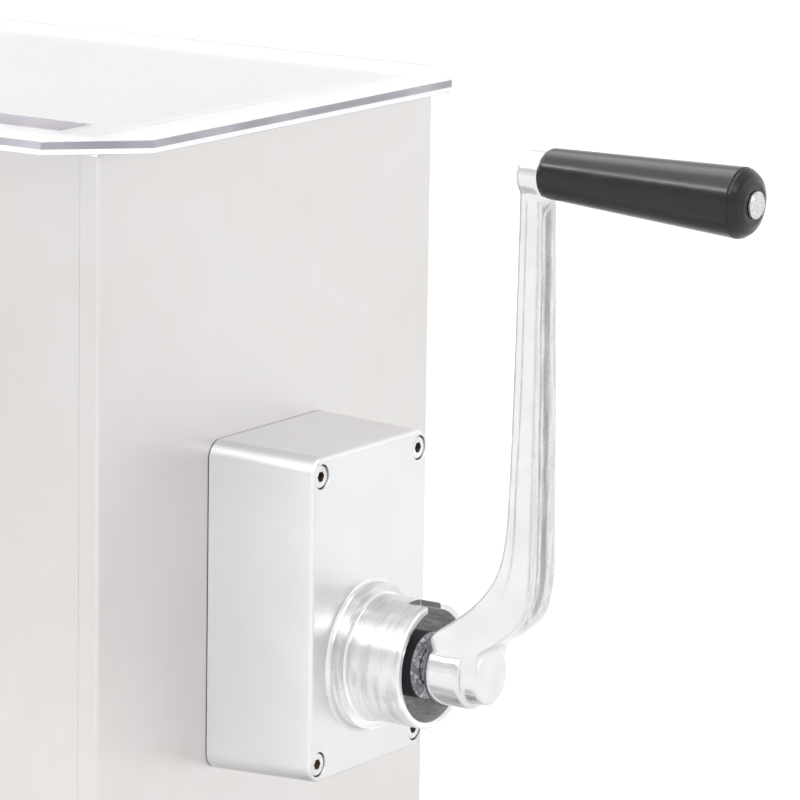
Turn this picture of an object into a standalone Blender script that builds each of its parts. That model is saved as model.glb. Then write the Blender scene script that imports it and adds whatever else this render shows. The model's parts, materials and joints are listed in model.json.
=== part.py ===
"""Hand-cranked tank mixer: a stainless tank with a clear lid, a side gearbox and an S-shaped crank.

Metres, +Z up, +X from the tank towards the crank. The origin is under the middle of the whole object,
on the surface it stands on. Points are given with at(x, y, z): x from the outer face of the drive end
panel, y from the mid-plane, z from the rim of the tank, which is also the underside of the lid.
"""
import math

import bmesh
import bpy
from mathutils import Matrix, Vector

# ---------------------------------------------------------------- driving dimensions
TANK_WIDTH = 0.240
TANK_LENGTH = 0.340
RIM_HEIGHT = 0.470
SHEET = 0.0015
FLANGE = 0.009
BEND_RADIUS = 0.0025
INNER_BEND = BEND_RADIUS - SHEET
SIDE_PANEL_HEIGHT = 0.300
ARCH_TOP = -0.345
ARCH_HALF_WIDTH = 0.078
ARCH_CORNER = 0.030
GAP = 0.0003

FOOT_HEIGHT = 0.012
FOOT_RADIUS = 0.013
FOOT_INSET = 0.019
RAIL_DEPTH = 0.034
RAIL_WEB = 0.024
RAIL_THICKNESS = 0.002

LID_THICKNESS = 0.0055
LID_OVERHANG_END = 0.0178
LID_OVERHANG_SIDE = 0.0192
LID_CORNER = 0.0317
SLOT_END_INSET = 0.0256
SLOT_FRONT = -0.1115
SLOT_BACK = -0.0900

GEAR_MODULE = 0.002
PINION_TEETH = 16
WHEEL_TEETH = 32
AXIS_SPACING = GEAR_MODULE * (PINION_TEETH + WHEEL_TEETH) / 2 + 0.0001
CRANK_Z = -0.2198
PADDLE_Z = CRANK_Z + AXIS_SPACING
SHAFT_RADIUS = 0.008
BORE_RADIUS = SHAFT_RADIUS + GAP
SHOULDER = (0.0094, 0.0156)
SHOULDER_RADIUS = 0.0100

GEARBOX_Z = -0.1987
GEARBOX_DEPTH = 0.0512
GEARBOX_BASE = (0.0437, 0.0700)
GEARBOX_FRONT = (0.0419, 0.0684)
GEARBOX_WALL = 0.005
GEARBOX_EDGE = 0.008
PLATE_RECESS = (0.0410, 0.0673)
PLATE_RECESS_EDGE = 0.0063
PLATE_THICKNESS = 0.006
SCREW_HALF_SPACING = (0.0358, 0.0606)
COUNTERBORE_RADIUS = 0.0052
BOSS_RADIUS = 0.0070
GASKET_FACE = 0.0011
GASKET_WINDOW = (0.0291, 0.0538)
GASKET_INSET = 0.0006
HOUSING_BACK = GASKET_FACE + GAP

COLLAR_RADIUS = 0.0305
COLLAR_END = 0.0569
RING_RADIUS = 0.0263
RING_BORE = 0.0235
RING_FLOOR = 0.0600
RING_END = 0.0835
NOTCH_WIDTH = 0.0095
NOTCH_DEPTH = 0.010

HUB_START = 0.088
HUB_STEP = 0.1046
HUB_END = 0.1122
HUB_RADIUS = 0.01485
HUB_NOSE_RADIUS = 0.0122
ARM_HALF_WIDTH_LOW = 0.0104
ARM_HALF_WIDTH_TOP = 0.0072
ARM_TAPER_FROM = 0.045
ARM_TAPER_TO = 0.190
CHANNEL_HALF_WIDTH = 0.0040
CHANNEL_DEPTH = 0.0038
EYE_HEIGHT = 0.2098
EYE_RADIUS = 0.0098

GRIP_START = 0.1360
GRIP_HEIGHT = 0.2109
GRIP_TILT = math.radians(1.75)
GRIP_LENGTH = 0.0930
GRIP_BORE = 0.0043
PIN_RADIUS = 0.0040
PIN_REACH = 0.0950
PIN_FACE_RADIUS = 0.0040

TROUGH_RADIUS = TANK_WIDTH / 2 - SHEET - GAP
TUBE_RADIUS = 0.011
TUBE_START = -0.0052
TUBE_END = -0.3345
PADDLE_COUNT = 6
PADDLE_FIRST = -0.040
PADDLE_PITCH = 0.052
PADDLE_REACH = 0.110
PADDLE_TWIST = math.radians(35)

IDLE_BOLT_RADIUS = 0.0200
IDLE_REACH = 0.378
CRANK_REACH = GRIP_START + PIN_REACH * math.cos(GRIP_TILT) + PIN_FACE_RADIUS * math.sin(GRIP_TILT)
DRIVE_X = (IDLE_REACH - CRANK_REACH) / 2

STEEL = "stainless"
COLOURS = {
    STEEL: ((0.74, 0.735, 0.72), 0.28, 1.0),
    "aluminium": ((0.80, 0.80, 0.81), 0.24, 1.0),
    "chrome": ((0.86, 0.86, 0.87), 0.08, 1.0),
    "steel": ((0.56, 0.56, 0.57), 0.25, 1.0),
    "bronze": ((0.62, 0.42, 0.20), 0.30, 1.0),
    "black_plastic": ((0.025, 0.025, 0.028), 0.22, 0.0),
    "rubber": ((0.03, 0.03, 0.03), 0.75, 0.0),
    "acrylic": ((0.93, 0.94, 0.96), 0.05, 0.0),
    "white_plastic": ((0.85, 0.85, 0.83), 0.40, 0.0),
}


# ---------------------------------------------------------------- tools
def at(x, y, z):
    """A point given from the drive panel's outer face, the mid-plane and the rim."""
    return Vector((DRIVE_X + x, y, RIM_HEIGHT + z))


def clear_scene():
    for obj in list(bpy.data.objects):
        bpy.data.objects.remove(obj, do_unlink=True)


def collection(name):
    group = bpy.data.collections.new(name)
    bpy.context.scene.collection.children.link(group)
    return group


def finish(name):
    """The shared finish of that name, made once."""
    found = bpy.data.materials.get(name)
    if found:
        return found
    colour, roughness, metallic = COLOURS[name]
    made = bpy.data.materials.new(name)
    made.use_nodes = True
    shader = made.node_tree.nodes["Principled BSDF"]
    shader.inputs["Base Color"].default_value = (*colour, 1.0)
    shader.inputs["Roughness"].default_value = roughness
    shader.inputs["Metallic"].default_value = metallic
    return made


def add(name, data, look):
    """Link a new object to the model, or to the cutters where it has no look."""
    obj = bpy.data.objects.new(name, data)
    if look is None:
        CUTTERS.objects.link(obj)
        obj.hide_render = True
        obj.display_type = "WIRE"
    else:
        PARTS.objects.link(obj)
        data.materials.append(finish(look))
    return obj


def smooth(mesh):
    mesh.shade_smooth()
    mesh.set_sharp_from_angle(angle=math.radians(35))


def box(name, low, high, look=None):
    """A box between two corners, its origin at its centre."""
    bm = bmesh.new()
    size = high - low
    bmesh.ops.create_cube(bm, size=1.0, matrix=Matrix.Diagonal((*size, 1.0)))
    mesh = bpy.data.meshes.new(name)
    bm.to_mesh(mesh)
    bm.free()
    obj = add(name, mesh, look)
    obj.location = (low + high) / 2
    return obj


def folded(name, low, high, open_sides, look):
    """A folded sheet: a box without its open sides, bent at its edges, thickened inwards."""
    bm = bmesh.new()
    bmesh.ops.create_cube(bm, size=1.0, matrix=Matrix.Diagonal((*(high - low), 1.0)))
    opened = [f for f in bm.faces if any(f.normal.dot(Vector(side)) > 0.9 for side in open_sides)]
    bmesh.ops.delete(bm, geom=opened, context="FACES")
    bends = [e for e in bm.edges if not e.is_boundary]
    bmesh.ops.bevel(bm, geom=bends, offset=BEND_RADIUS, segments=3, affect="EDGES", profile=0.5)
    mesh = bpy.data.meshes.new(name)
    bm.to_mesh(mesh)
    bm.free()
    obj = add(name, mesh, look)
    obj.location = (low + high) / 2
    shell = obj.modifiers.new("sheet", "SOLIDIFY")
    shell.thickness = SHEET
    shell.offset = -1
    shell.use_even_offset = True
    smooth(mesh)
    return obj


def turned(name, profile, centre, look=None, steps=20, tilt=0.0):
    """A turned solid along +X. The profile is (along, radius) pairs from its +X end to its -X end.

    It starts and ends on the axis, or it is a closed loop that runs down the outside and up the bore.
    """
    mesh = bpy.data.meshes.new(name)
    points = [(radius, 0.0, along) for along, radius in profile]
    edges = [(i, i + 1) for i in range(len(points) - 1)]
    if profile[0][1] > 0:
        edges.append((len(points) - 1, 0))
    mesh.from_pydata(points, edges, [])
    obj = add(name, mesh, look)
    obj.location = centre
    obj.rotation_euler = (0, math.pi / 2 + tilt, 0)
    screw = obj.modifiers.new("turn", "SCREW")
    screw.axis = "Z"
    screw.angle = 2 * math.pi
    screw.steps = steps
    screw.render_steps = steps
    screw.use_merge_vertices = True
    screw.merge_threshold = 0.00005
    screw.use_smooth_shade = True
    return obj


def rod(start, end, radius):
    """The profile of a plain rod."""
    return [(end, 0), (end, radius), (start, radius), (start, 0)]


def tube(start, end, radius, bore):
    """The profile of a plain tube."""
    return [(end, bore), (end, radius), (start, radius), (start, bore)]


def arc(centre, radius, start, end, steps):
    """Points along a circular arc, angles in degrees."""
    points = []
    for i in range(steps + 1):
        angle = math.radians(start + (end - start) * i / steps)
        points.append((centre[0] + radius * math.cos(angle), centre[1] + radius * math.sin(angle)))
    return points


def circle(centre, radius, steps=24):
    return arc(centre, radius, 0, 360 - 360 / steps, steps - 1)


def rounded(half_width, half_height, radius, centre=(0.0, 0.0), steps=4):
    """A rectangle with round corners."""
    points = []
    for quarter, (u, v) in enumerate(((1, 1), (-1, 1), (-1, -1), (1, -1))):
        corner = (centre[0] + u * (half_width - radius), centre[1] + v * (half_height - radius))
        points += arc(corner, radius, 90 * quarter, 90 * quarter + 90, steps)
    return points


PLANES = {"YZ": (math.pi / 2, 0, math.pi / 2), "XZ": (math.pi / 2, 0, 0), "XY": (0, 0, 0)}


def flat(name, loops, thickness, centre, plane, look=None, sharp=None):
    """A plate from closed outlines in a plane, holes included, made a mesh with its caps welded.

    Where sharp is given, the outline is a smooth curve with corners at only those points.
    """
    curve = bpy.data.curves.new(name, "CURVE")
    curve.dimensions = "2D"
    curve.fill_mode = "BOTH"
    curve.extrude = thickness / 2
    curve.resolution_u = 3
    for loop in loops:
        if sharp is not None:
            spline = curve.splines.new("BEZIER")
            spline.bezier_points.add(len(loop) - 1)
            for number, (u, v) in enumerate(loop):
                point = spline.bezier_points[number]
                point.co = (u, v, 0)
                point.handle_left_type = "VECTOR" if number in sharp else "AUTO"
                point.handle_right_type = point.handle_left_type
        else:
            spline = curve.splines.new("POLY")
            spline.points.add(len(loop) - 1)
            for point, (u, v) in zip(spline.points, loop):
                point.co = (u, v, 0, 1)
        spline.use_cyclic_u = True
    sketch = bpy.data.objects.new(name + "_sketch", curve)
    bpy.context.scene.collection.objects.link(sketch)
    sketch.location = centre
    sketch.rotation_euler = PLANES[plane]
    bpy.context.view_layer.update()
    mesh = bpy.data.meshes.new_from_object(sketch.evaluated_get(bpy.context.evaluated_depsgraph_get()))
    bm = bmesh.new()
    bm.from_mesh(mesh)
    bmesh.ops.remove_doubles(bm, verts=bm.verts, dist=0.00002)
    bm.to_mesh(mesh)
    bm.free()
    mesh.materials.clear()
    obj = add(name, mesh, look)
    obj.matrix_world = sketch.matrix_world
    bpy.data.objects.remove(sketch, do_unlink=True)
    return obj


def evaluated_mesh(obj):
    """A new mesh of the object's shape with its modifiers applied."""
    bpy.context.view_layer.update()
    return bpy.data.meshes.new_from_object(obj.evaluated_get(bpy.context.evaluated_depsgraph_get()))


def repeat(name, pattern, moves):
    """One cutter or joining piece that holds a copy of the pattern's shape at each move."""
    mesh = evaluated_mesh(pattern)
    bm = bmesh.new()
    for move in moves:
        first = len(bm.verts)
        bm.from_mesh(mesh)
        bm.verts.ensure_lookup_table()
        bmesh.ops.transform(bm, matrix=move @ pattern.matrix_world, verts=bm.verts[first:])
    joined = bpy.data.meshes.new(name)
    bm.to_mesh(joined)
    bm.free()
    bpy.data.objects.remove(pattern, do_unlink=True)
    return add(name, joined, None)


def copies(names, pattern, moves, look):
    """One node for each name, all sharing the pattern's mesh."""
    mesh = evaluated_mesh(pattern)
    mesh.materials.clear()
    smooth(mesh)
    place = pattern.matrix_world.copy()
    bpy.data.objects.remove(pattern, do_unlink=True)
    made = []
    for name, move in zip(names, moves):
        mesh.materials.clear()
        made.append(add(name, mesh, look))
        made[-1].matrix_world = move @ place
    return made


def boolean(target, tool, operation="DIFFERENCE"):
    modifier = target.modifiers.new(tool.name, "BOOLEAN")
    modifier.operation = operation
    modifier.solver = "EXACT"
    modifier.object = tool


CORNER_NAMES = ("front_top", "back_top", "front_bottom", "back_bottom")


def corners(half_y, half_z, centre_z):
    """The four moves from the origin to a rectangle's corners in the end panel's plane."""
    signs = ((-1, 1), (1, 1), (-1, -1), (1, -1))
    return [Matrix.Translation((0, u * half_y, centre_z + v * half_z)) for u, v in signs]


# ---------------------------------------------------------------- tank
def end_panel(name, face, inward, shaft_hole, screw_places):
    """A pan-shaped end panel that runs down to the floor as two legs, with an arch between them."""
    outer, inner = sorted((face, face + inward * FLANGE))
    floor = FOOT_HEIGHT + GAP - RIM_HEIGHT
    low = at(outer, -TANK_WIDTH / 2, floor)
    high = at(inner, TANK_WIDTH / 2, 0)
    panel = folded(name, low, high, [(inward, 0, 0), (0, 0, -1)], STEEL)
    below = floor - 0.02
    side = ARCH_HALF_WIDTH - ARCH_CORNER
    top = ARCH_TOP - ARCH_CORNER
    arch = [(ARCH_HALF_WIDTH, below), *arc((side, top), ARCH_CORNER, 0, 90, 5),
            *arc((-side, top), ARCH_CORNER, 90, 180, 5), (-ARCH_HALF_WIDTH, below)]
    boolean(panel, flat(name + "_arch", [arch], 0.04, at(face, 0, 0), "YZ"))
    boolean(panel, turned(name + "_hole", rod(face - 0.01, face + 0.01, shaft_hole), at(0, 0, PADDLE_Z)))
    drill = turned(name + "_drill", rod(face - 0.01, face + 0.01, 0.0028), at(0, 0, 0), steps=16)
    boolean(panel, repeat(name + "_drills", drill, screw_places))


def side_panel(name, side):
    """A flat side panel with its top and bottom edges folded in, flush between the end panels' flanges."""
    ys = sorted((side * TANK_WIDTH / 2, side * (TANK_WIDTH / 2 - FLANGE)))
    low = at(-TANK_LENGTH + FLANGE + GAP, ys[0], -SIDE_PANEL_HEIGHT)
    high = at(-FLANGE - GAP, ys[1], 0)
    return folded(name, low, high, [(0, -side, 0), (1, 0, 0), (-1, 0, 0)], STEEL)


def trough():
    """The half-round floor of the tank, with short upright tabs against the side panels."""
    tab = 0.014
    outside = [(TROUGH_RADIUS, tab), *arc((0, 0), TROUGH_RADIUS, 0, -180, 24), (-TROUGH_RADIUS, tab)]
    inner = TROUGH_RADIUS - 0.0012
    inside = [(-inner, tab), *arc((0, 0), inner, -180, 0, 24), (inner, tab)]
    length = TANK_LENGTH - 2 * (SHEET + GAP + INNER_BEND)
    return flat("trough_floor", [outside + inside], length, at(-TANK_LENGTH / 2, 0, PADDLE_Z), "YZ", STEEL)


def legs():
    """A cross rail between the two legs at each end, and four rubber feet pushed into the rails."""
    rail_low = FOOT_HEIGHT + GAP - RIM_HEIGHT
    rail_top = rail_low + RAIL_THICKNESS
    wall = SHEET + GAP
    for end_name, face, inward in (("drive", 0.0, -1), ("idle", -TANK_LENGTH, 1)):
        near = face + inward * wall
        far = near + inward * RAIL_DEPTH
        web = near + inward * RAIL_THICKNESS
        outline = [(near, rail_low), (far, rail_low), (far, rail_top), (web, rail_top),
                   (web, rail_low + RAIL_WEB), (near, rail_low + RAIL_WEB)]
        rail = flat("foot_rail_" + end_name, [outline], TANK_WIDTH - 2 * (wall + INNER_BEND), at(0, 0, 0),
                    "XZ", STEEL)
        for side_name, side in (("front", -1), ("back", 1)):
            spot = at(face + inward * FOOT_INSET, side * (TANK_WIDTH / 2 - FOOT_INSET), -RIM_HEIGHT)
            tag = f"{side_name}_{end_name}"
            hole = turned("rail_hole_" + tag, rod(-0.01, 0.04, 0.0045), spot, steps=16)
            hole.rotation_euler = (0, 0, 0)
            boolean(rail, hole)
            top = FOOT_HEIGHT + 2 * GAP + RAIL_THICKNESS
            foot = turned("foot_" + tag, [(top + 0.005, 0), (top + 0.005, 0.0030), (top + 0.0003, 0.0055),
                                          (top + 0.0003, 0.0042), (FOOT_HEIGHT, 0.0042), (FOOT_HEIGHT, 0.0110),
                                          (0.001, FOOT_RADIUS), (0.0, FOOT_RADIUS - 0.001), (0.0, 0)],
                          spot, "rubber", steps=16)
            foot.rotation_euler = (0, 0, 0)


def lid():
    """The clear lid: a plate with cut corners and one long slot near its front edge."""
    low_x = -TANK_LENGTH - LID_OVERHANG_END
    high_x = LID_OVERHANG_END
    half = TANK_WIDTH / 2 + LID_OVERHANG_SIDE
    cut = LID_CORNER
    outline = [(low_x + cut, -half), (high_x - cut, -half), (high_x, -half + cut), (high_x, half - cut),
               (high_x - cut, half), (low_x + cut, half), (low_x, half - cut), (low_x, -half + cut)]
    slot = [(-SLOT_END_INSET, SLOT_FRONT), (-SLOT_END_INSET, SLOT_BACK),
            (-TANK_LENGTH + SLOT_END_INSET, SLOT_BACK), (-TANK_LENGTH + SLOT_END_INSET, SLOT_FRONT)]
    flat("lid", [outline, slot], LID_THICKNESS, at(0, 0, GAP + LID_THICKNESS / 2), "XY", "acrylic")
    strip_half = TANK_WIDTH / 2 - FLANGE - 0.020
    for end_name, face, inward in (("drive", 0.0, -1), ("idle", -TANK_LENGTH, 1)):
        near, far = sorted((face + inward * (FLANGE + 0.0015), face + inward * (FLANGE + 0.0070)))
        box("lid_locator_" + end_name, at(near, -strip_half, -0.008), at(far, strip_half, 0), "acrylic")


# ---------------------------------------------------------------- gearbox
def drafted_block(name, base, front, start, end, edge, rim, look=None):
    """A block that tapers from a base to a front, with round long edges and an eased front rim."""
    bm = bmesh.new()
    size = (end - start, 2 * base[0], 2 * base[1])
    bmesh.ops.create_cube(bm, size=1.0, matrix=Matrix.Diagonal((*size, 1.0)))
    for vert in bm.verts:
        if vert.co.x > 0:
            vert.co.y *= front[0] / base[0]
            vert.co.z *= front[1] / base[1]
    long_edges = [e for e in bm.edges if e.verts[0].co.x * e.verts[1].co.x < 0]
    bmesh.ops.bevel(bm, geom=long_edges, offset=edge, segments=5, affect="EDGES", profile=0.5)
    if rim > 0:
        face = max(bm.faces, key=lambda f: f.calc_center_median().x)
        bmesh.ops.bevel(bm, geom=list(face.edges), offset=rim, segments=3, affect="EDGES", profile=0.5)
    mesh = bpy.data.meshes.new(name)
    bm.to_mesh(mesh)
    bm.free()
    smooth(mesh)
    obj = add(name, mesh, look)
    obj.location = at((start + end) / 2, 0, GEARBOX_Z)
    return obj


def gearbox_housing():
    """The cast housing: a hollow block with screw bosses, bearing pockets and a hollow ring boss."""
    inset = GEARBOX_WALL
    housing = drafted_block("gearbox_housing", GEARBOX_BASE, GEARBOX_FRONT, HOUSING_BACK, GEARBOX_DEPTH,
                            GEARBOX_EDGE, 0.0018, "aluminium")
    cavity = drafted_block("cavity", (GEARBOX_BASE[0] - inset, GEARBOX_BASE[1] - inset),
                           (GEARBOX_FRONT[0] - inset, GEARBOX_FRONT[1] - inset),
                           HOUSING_BACK - 0.002, GEARBOX_DEPTH - inset, GEARBOX_EDGE - 0.003, 0.0)
    plate_front = HOUSING_BACK + PLATE_THICKNESS
    boss = turned("boss", rod(plate_front + 2 * GAP, GEARBOX_DEPTH, BOSS_RADIUS), at(0, 0, 0), steps=16)
    boolean(cavity, repeat("bosses", boss, corners(*SCREW_HALF_SPACING, GEARBOX_Z)))
    boolean(housing, cavity)
    recess = drafted_block("plate_recess", PLATE_RECESS, PLATE_RECESS, HOUSING_BACK - 0.002, plate_front + GAP,
                           PLATE_RECESS_EDGE, 0.0)
    boolean(housing, recess)
    pocket = turned("pocket", rod(0.0400, 0.0480, 0.0130), at(0, 0, PADDLE_Z))
    boolean(housing, pocket, "UNION")
    ring = turned("ring_boss", [(RING_END, 0), (RING_END, RING_RADIUS - 0.0005), (RING_END - 0.0005, RING_RADIUS),
                                (COLLAR_END + 0.0008, RING_RADIUS), (COLLAR_END, RING_RADIUS + 0.0010),
                                (COLLAR_END, COLLAR_RADIUS - 0.0015), (COLLAR_END - 0.0015, COLLAR_RADIUS),
                                (GEARBOX_DEPTH - 0.002, COLLAR_RADIUS + 0.0005),
                                (GEARBOX_DEPTH - 0.002, 0.0160), (0.0400, 0.0160), (0.0400, 0)],
                  at(0, 0, CRANK_Z), steps=36)
    boolean(housing, ring, "UNION")
    bore = turned("ring_bore", [(RING_END + 0.002, 0), (RING_END + 0.002, RING_BORE), (RING_FLOOR, RING_BORE),
                                (RING_FLOOR, 0.0113), (0.0390, 0.0113), (0.0390, 0)],
                  at(0, 0, CRANK_Z), steps=36)
    boolean(housing, bore)
    boolean(housing, turned("output_pocket", rod(0.0390, 0.0485, 0.0103), at(0, 0, PADDLE_Z)))
    half = NOTCH_WIDTH / 2
    notch = box("notch", at(RING_END - NOTCH_DEPTH, -half, CRANK_Z + RING_BORE - 0.006),
                at(RING_END + 0.004, half, CRANK_Z + RING_RADIUS + 0.004))
    boolean(housing, notch)
    drill = turned("drill", [(GEARBOX_DEPTH + 0.002, 0), (GEARBOX_DEPTH + 0.002, COUNTERBORE_RADIUS),
                             (0.0442, COUNTERBORE_RADIUS), (0.0442, 0.0028), (0.0, 0.0028), (0.0, 0)],
                   at(0, 0, 0), steps=16)
    boolean(housing, repeat("drills", drill, corners(*SCREW_HALF_SPACING, GEARBOX_Z)))


def gearbox_closing():
    """The gasket against the tank, the plate that closes the housing, and the four long screws."""
    holes = [circle((u * SCREW_HALF_SPACING[0], v * SCREW_HALF_SPACING[1]), 0.0028, 16)
             for u in (-1, 1) for v in (-1, 1)]
    inside = rounded(*GASKET_WINDOW, 0.006)
    outside = rounded(GEARBOX_BASE[0] - GASKET_INSET, GEARBOX_BASE[1] - GASKET_INSET, GEARBOX_EDGE - GASKET_INSET)
    flat("gearbox_gasket", [outside, inside, *holes], GASKET_FACE - GAP,
         at((GASKET_FACE + GAP) / 2, 0, GEARBOX_Z), "YZ", "rubber")
    plate = rounded(PLATE_RECESS[0] - GAP, PLATE_RECESS[1] - GAP, PLATE_RECESS_EDGE - GAP)
    shafts = [circle((0, z - GEARBOX_Z), 0.0113, 20) for z in (CRANK_Z, PADDLE_Z)]
    flat("gearbox_back_plate", [plate, *shafts, *holes], PLATE_THICKNESS,
         at(HOUSING_BACK + PLATE_THICKNESS / 2, 0, GEARBOX_Z), "YZ", "aluminium")
    head = GEARBOX_DEPTH - 0.0010
    screw = turned("screw", [(head, 0), (head, 0.0038), (head - 0.0004, 0.00425), (0.0445, 0.00425),
                             (0.0445, 0.0025), (-0.0065, 0.0025), (-0.0065, 0)], at(0, 0, 0), steps=16)
    socket = turned("socket", rod(head - 0.003, head + 0.002, 0.0023), at(0, 0, 0), steps=6)
    moves = corners(*SCREW_HALF_SPACING, GEARBOX_Z)
    boolean(screw, socket)
    copies(["gearbox_screw_" + name for name in CORNER_NAMES], screw, moves, "steel")
    nut_names = ["gearbox_nut_" + name for name in CORNER_NAMES]
    copies(nut_names, cap_nut(-SHEET - GAP, -1), moves, "steel")


def cap_nut(face, direction):
    """A domed nut on a panel's inner face, pointing into the tank."""
    steps = [(0.0055, 0), (0.0055, 0.0028), (0, 0.0028), (0, 0.0046), (0.0038, 0.0046), (0.0066, 0.0026),
             (0.0074, 0)]
    profile = [(face + direction * along_axis, radius) for along_axis, radius in steps]
    if direction > 0:
        profile.reverse()
    return turned("cap_nut", profile, at(0, 0, 0), steps=12)


def gear_outline(teeth, phase, thinning=0.00014):
    """An involute gear's outline about the origin. phase is the angle of one tooth's middle."""
    pressure = math.radians(20)
    pitch = GEAR_MODULE * teeth / 2
    base = pitch * math.cos(pressure)
    root = pitch - 1.25 * GEAR_MODULE
    tip = pitch + 0.96 * GEAR_MODULE

    def half_angle(radius):
        turn = math.acos(min(1.0, base / max(radius, base)))
        involute = math.tan(turn) - turn
        return math.pi / (2 * teeth) - thinning / pitch + math.tan(pressure) - pressure - involute

    radii = [max(base, root) + (tip - max(base, root)) * i / 2 for i in range(3)]
    points = []
    for tooth in range(teeth):
        middle = phase + 2 * math.pi * tooth / teeth
        flank = [(root, half_angle(base))] + [(r, half_angle(r)) for r in radii]
        sides = [(r, middle - a) for r, a in flank] + [(r, middle + a) for r, a in reversed(flank)]
        points += [(r * math.cos(angle), r * math.sin(angle)) for r, angle in sides]
    return points


def keyed_gear(name, teeth, phase, start, end, z):
    """A gear on its shaft, with a keyway at the top of its bore."""
    pieces = [gear_outline(teeth, phase), circle((0, 0), BORE_RADIUS, 20)]
    gear = flat(name, pieces, end - start, at((start + end) / 2, 0, z), "YZ", "steel")
    boolean(gear, box(name + "_keyway", at(start - 0.001, -0.0023, z + 0.005), at(end + 0.001, 0.0023, z + 0.0104)))
    return gear


def keyed_shaft(name, start, end, z, key_span):
    """A shaft with a shoulder behind its gear, a key seat along the gear's span, and the key in it."""
    ease = 0.0006
    shaft = turned(name, [(end, 0), (end, SHAFT_RADIUS - ease), (end - ease, SHAFT_RADIUS),
                          (SHOULDER[1], SHAFT_RADIUS), (SHOULDER[1], SHOULDER_RADIUS),
                          (SHOULDER[0], SHOULDER_RADIUS), (SHOULDER[0], SHAFT_RADIUS),
                          (start + ease, SHAFT_RADIUS), (start, SHAFT_RADIUS - ease), (start, 0)],
                   at(0, 0, z), "steel")
    low, high = key_span
    boolean(shaft, box(name + "_seat", at(low - GAP, -0.0023, z + 0.0055), at(high + GAP, 0.0023, z + 0.010)))
    box(name.replace("shaft", "key"), at(low, -0.0020, z + 0.0058), at(high, 0.0020, z + 0.0101), "steel")
    return shaft


def gear_train():
    """Crank shaft with its pinion, paddle drive shaft with its wheel, and their bushes and rings."""
    keyed_shaft("input_shaft", 0.0022, 0.1075, CRANK_Z, (0.0175, 0.0305))
    keyed_gear("drive_pinion", PINION_TEETH, math.pi / 2, 0.0160, 0.0320, CRANK_Z)
    output = keyed_shaft("output_shaft", -0.0240, 0.0478, PADDLE_Z, (0.0175, 0.0305))
    keyed_gear("output_gear", WHEEL_TEETH, -math.pi / 2 + math.pi / WHEEL_TEETH, 0.0165, 0.0315, PADDLE_Z)
    boolean(output, cross_hole("output_cross_hole"))
    bush = 0.0110
    turned("input_bush_inner", tube(0.0018, 0.0090, bush, BORE_RADIUS), at(0, 0, CRANK_Z), "bronze")
    turned("output_bush_inner", tube(0.0018, 0.0090, bush, BORE_RADIUS), at(0, 0, PADDLE_Z), "bronze")
    turned("output_bush_outer", tube(0.0402, 0.0482, 0.0100, BORE_RADIUS), at(0, 0, PADDLE_Z), "bronze")
    turned("input_bush_outer", [(0.0820, BORE_RADIUS), (0.0820, 0.0134), (0.0814, 0.0140),
                                (RING_FLOOR + GAP, 0.0140), (RING_FLOOR + GAP, bush), (0.0405, bush),
                                (0.0405, BORE_RADIUS)], at(0, 0, CRANK_Z), "black_plastic")
    for name, z in (("input_retaining_ring", CRANK_Z), ("output_retaining_ring", PADDLE_Z)):
        turned(name, tube(0.0324, 0.0340, 0.0108, BORE_RADIUS), at(0, 0, z), "steel")
    turned("drive_seal", [(0.0008, BORE_RADIUS), (0.0008, 0.0132), (-SHEET - GAP, 0.0132),
                          (-SHEET - GAP, 0.0170), (-0.0043, 0.0170), (-0.0043, BORE_RADIUS)],
           at(0, 0, PADDLE_Z), "white_plastic")


def cross_hole(name):
    """The hole for the pin that joins the paddle tube to the drive shaft."""
    hole = turned(name, rod(-0.013, 0.013, 0.0033), at(-0.0145, 0, PADDLE_Z), steps=16)
    hole.rotation_euler = (0, 0, 0)
    return hole


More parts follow.
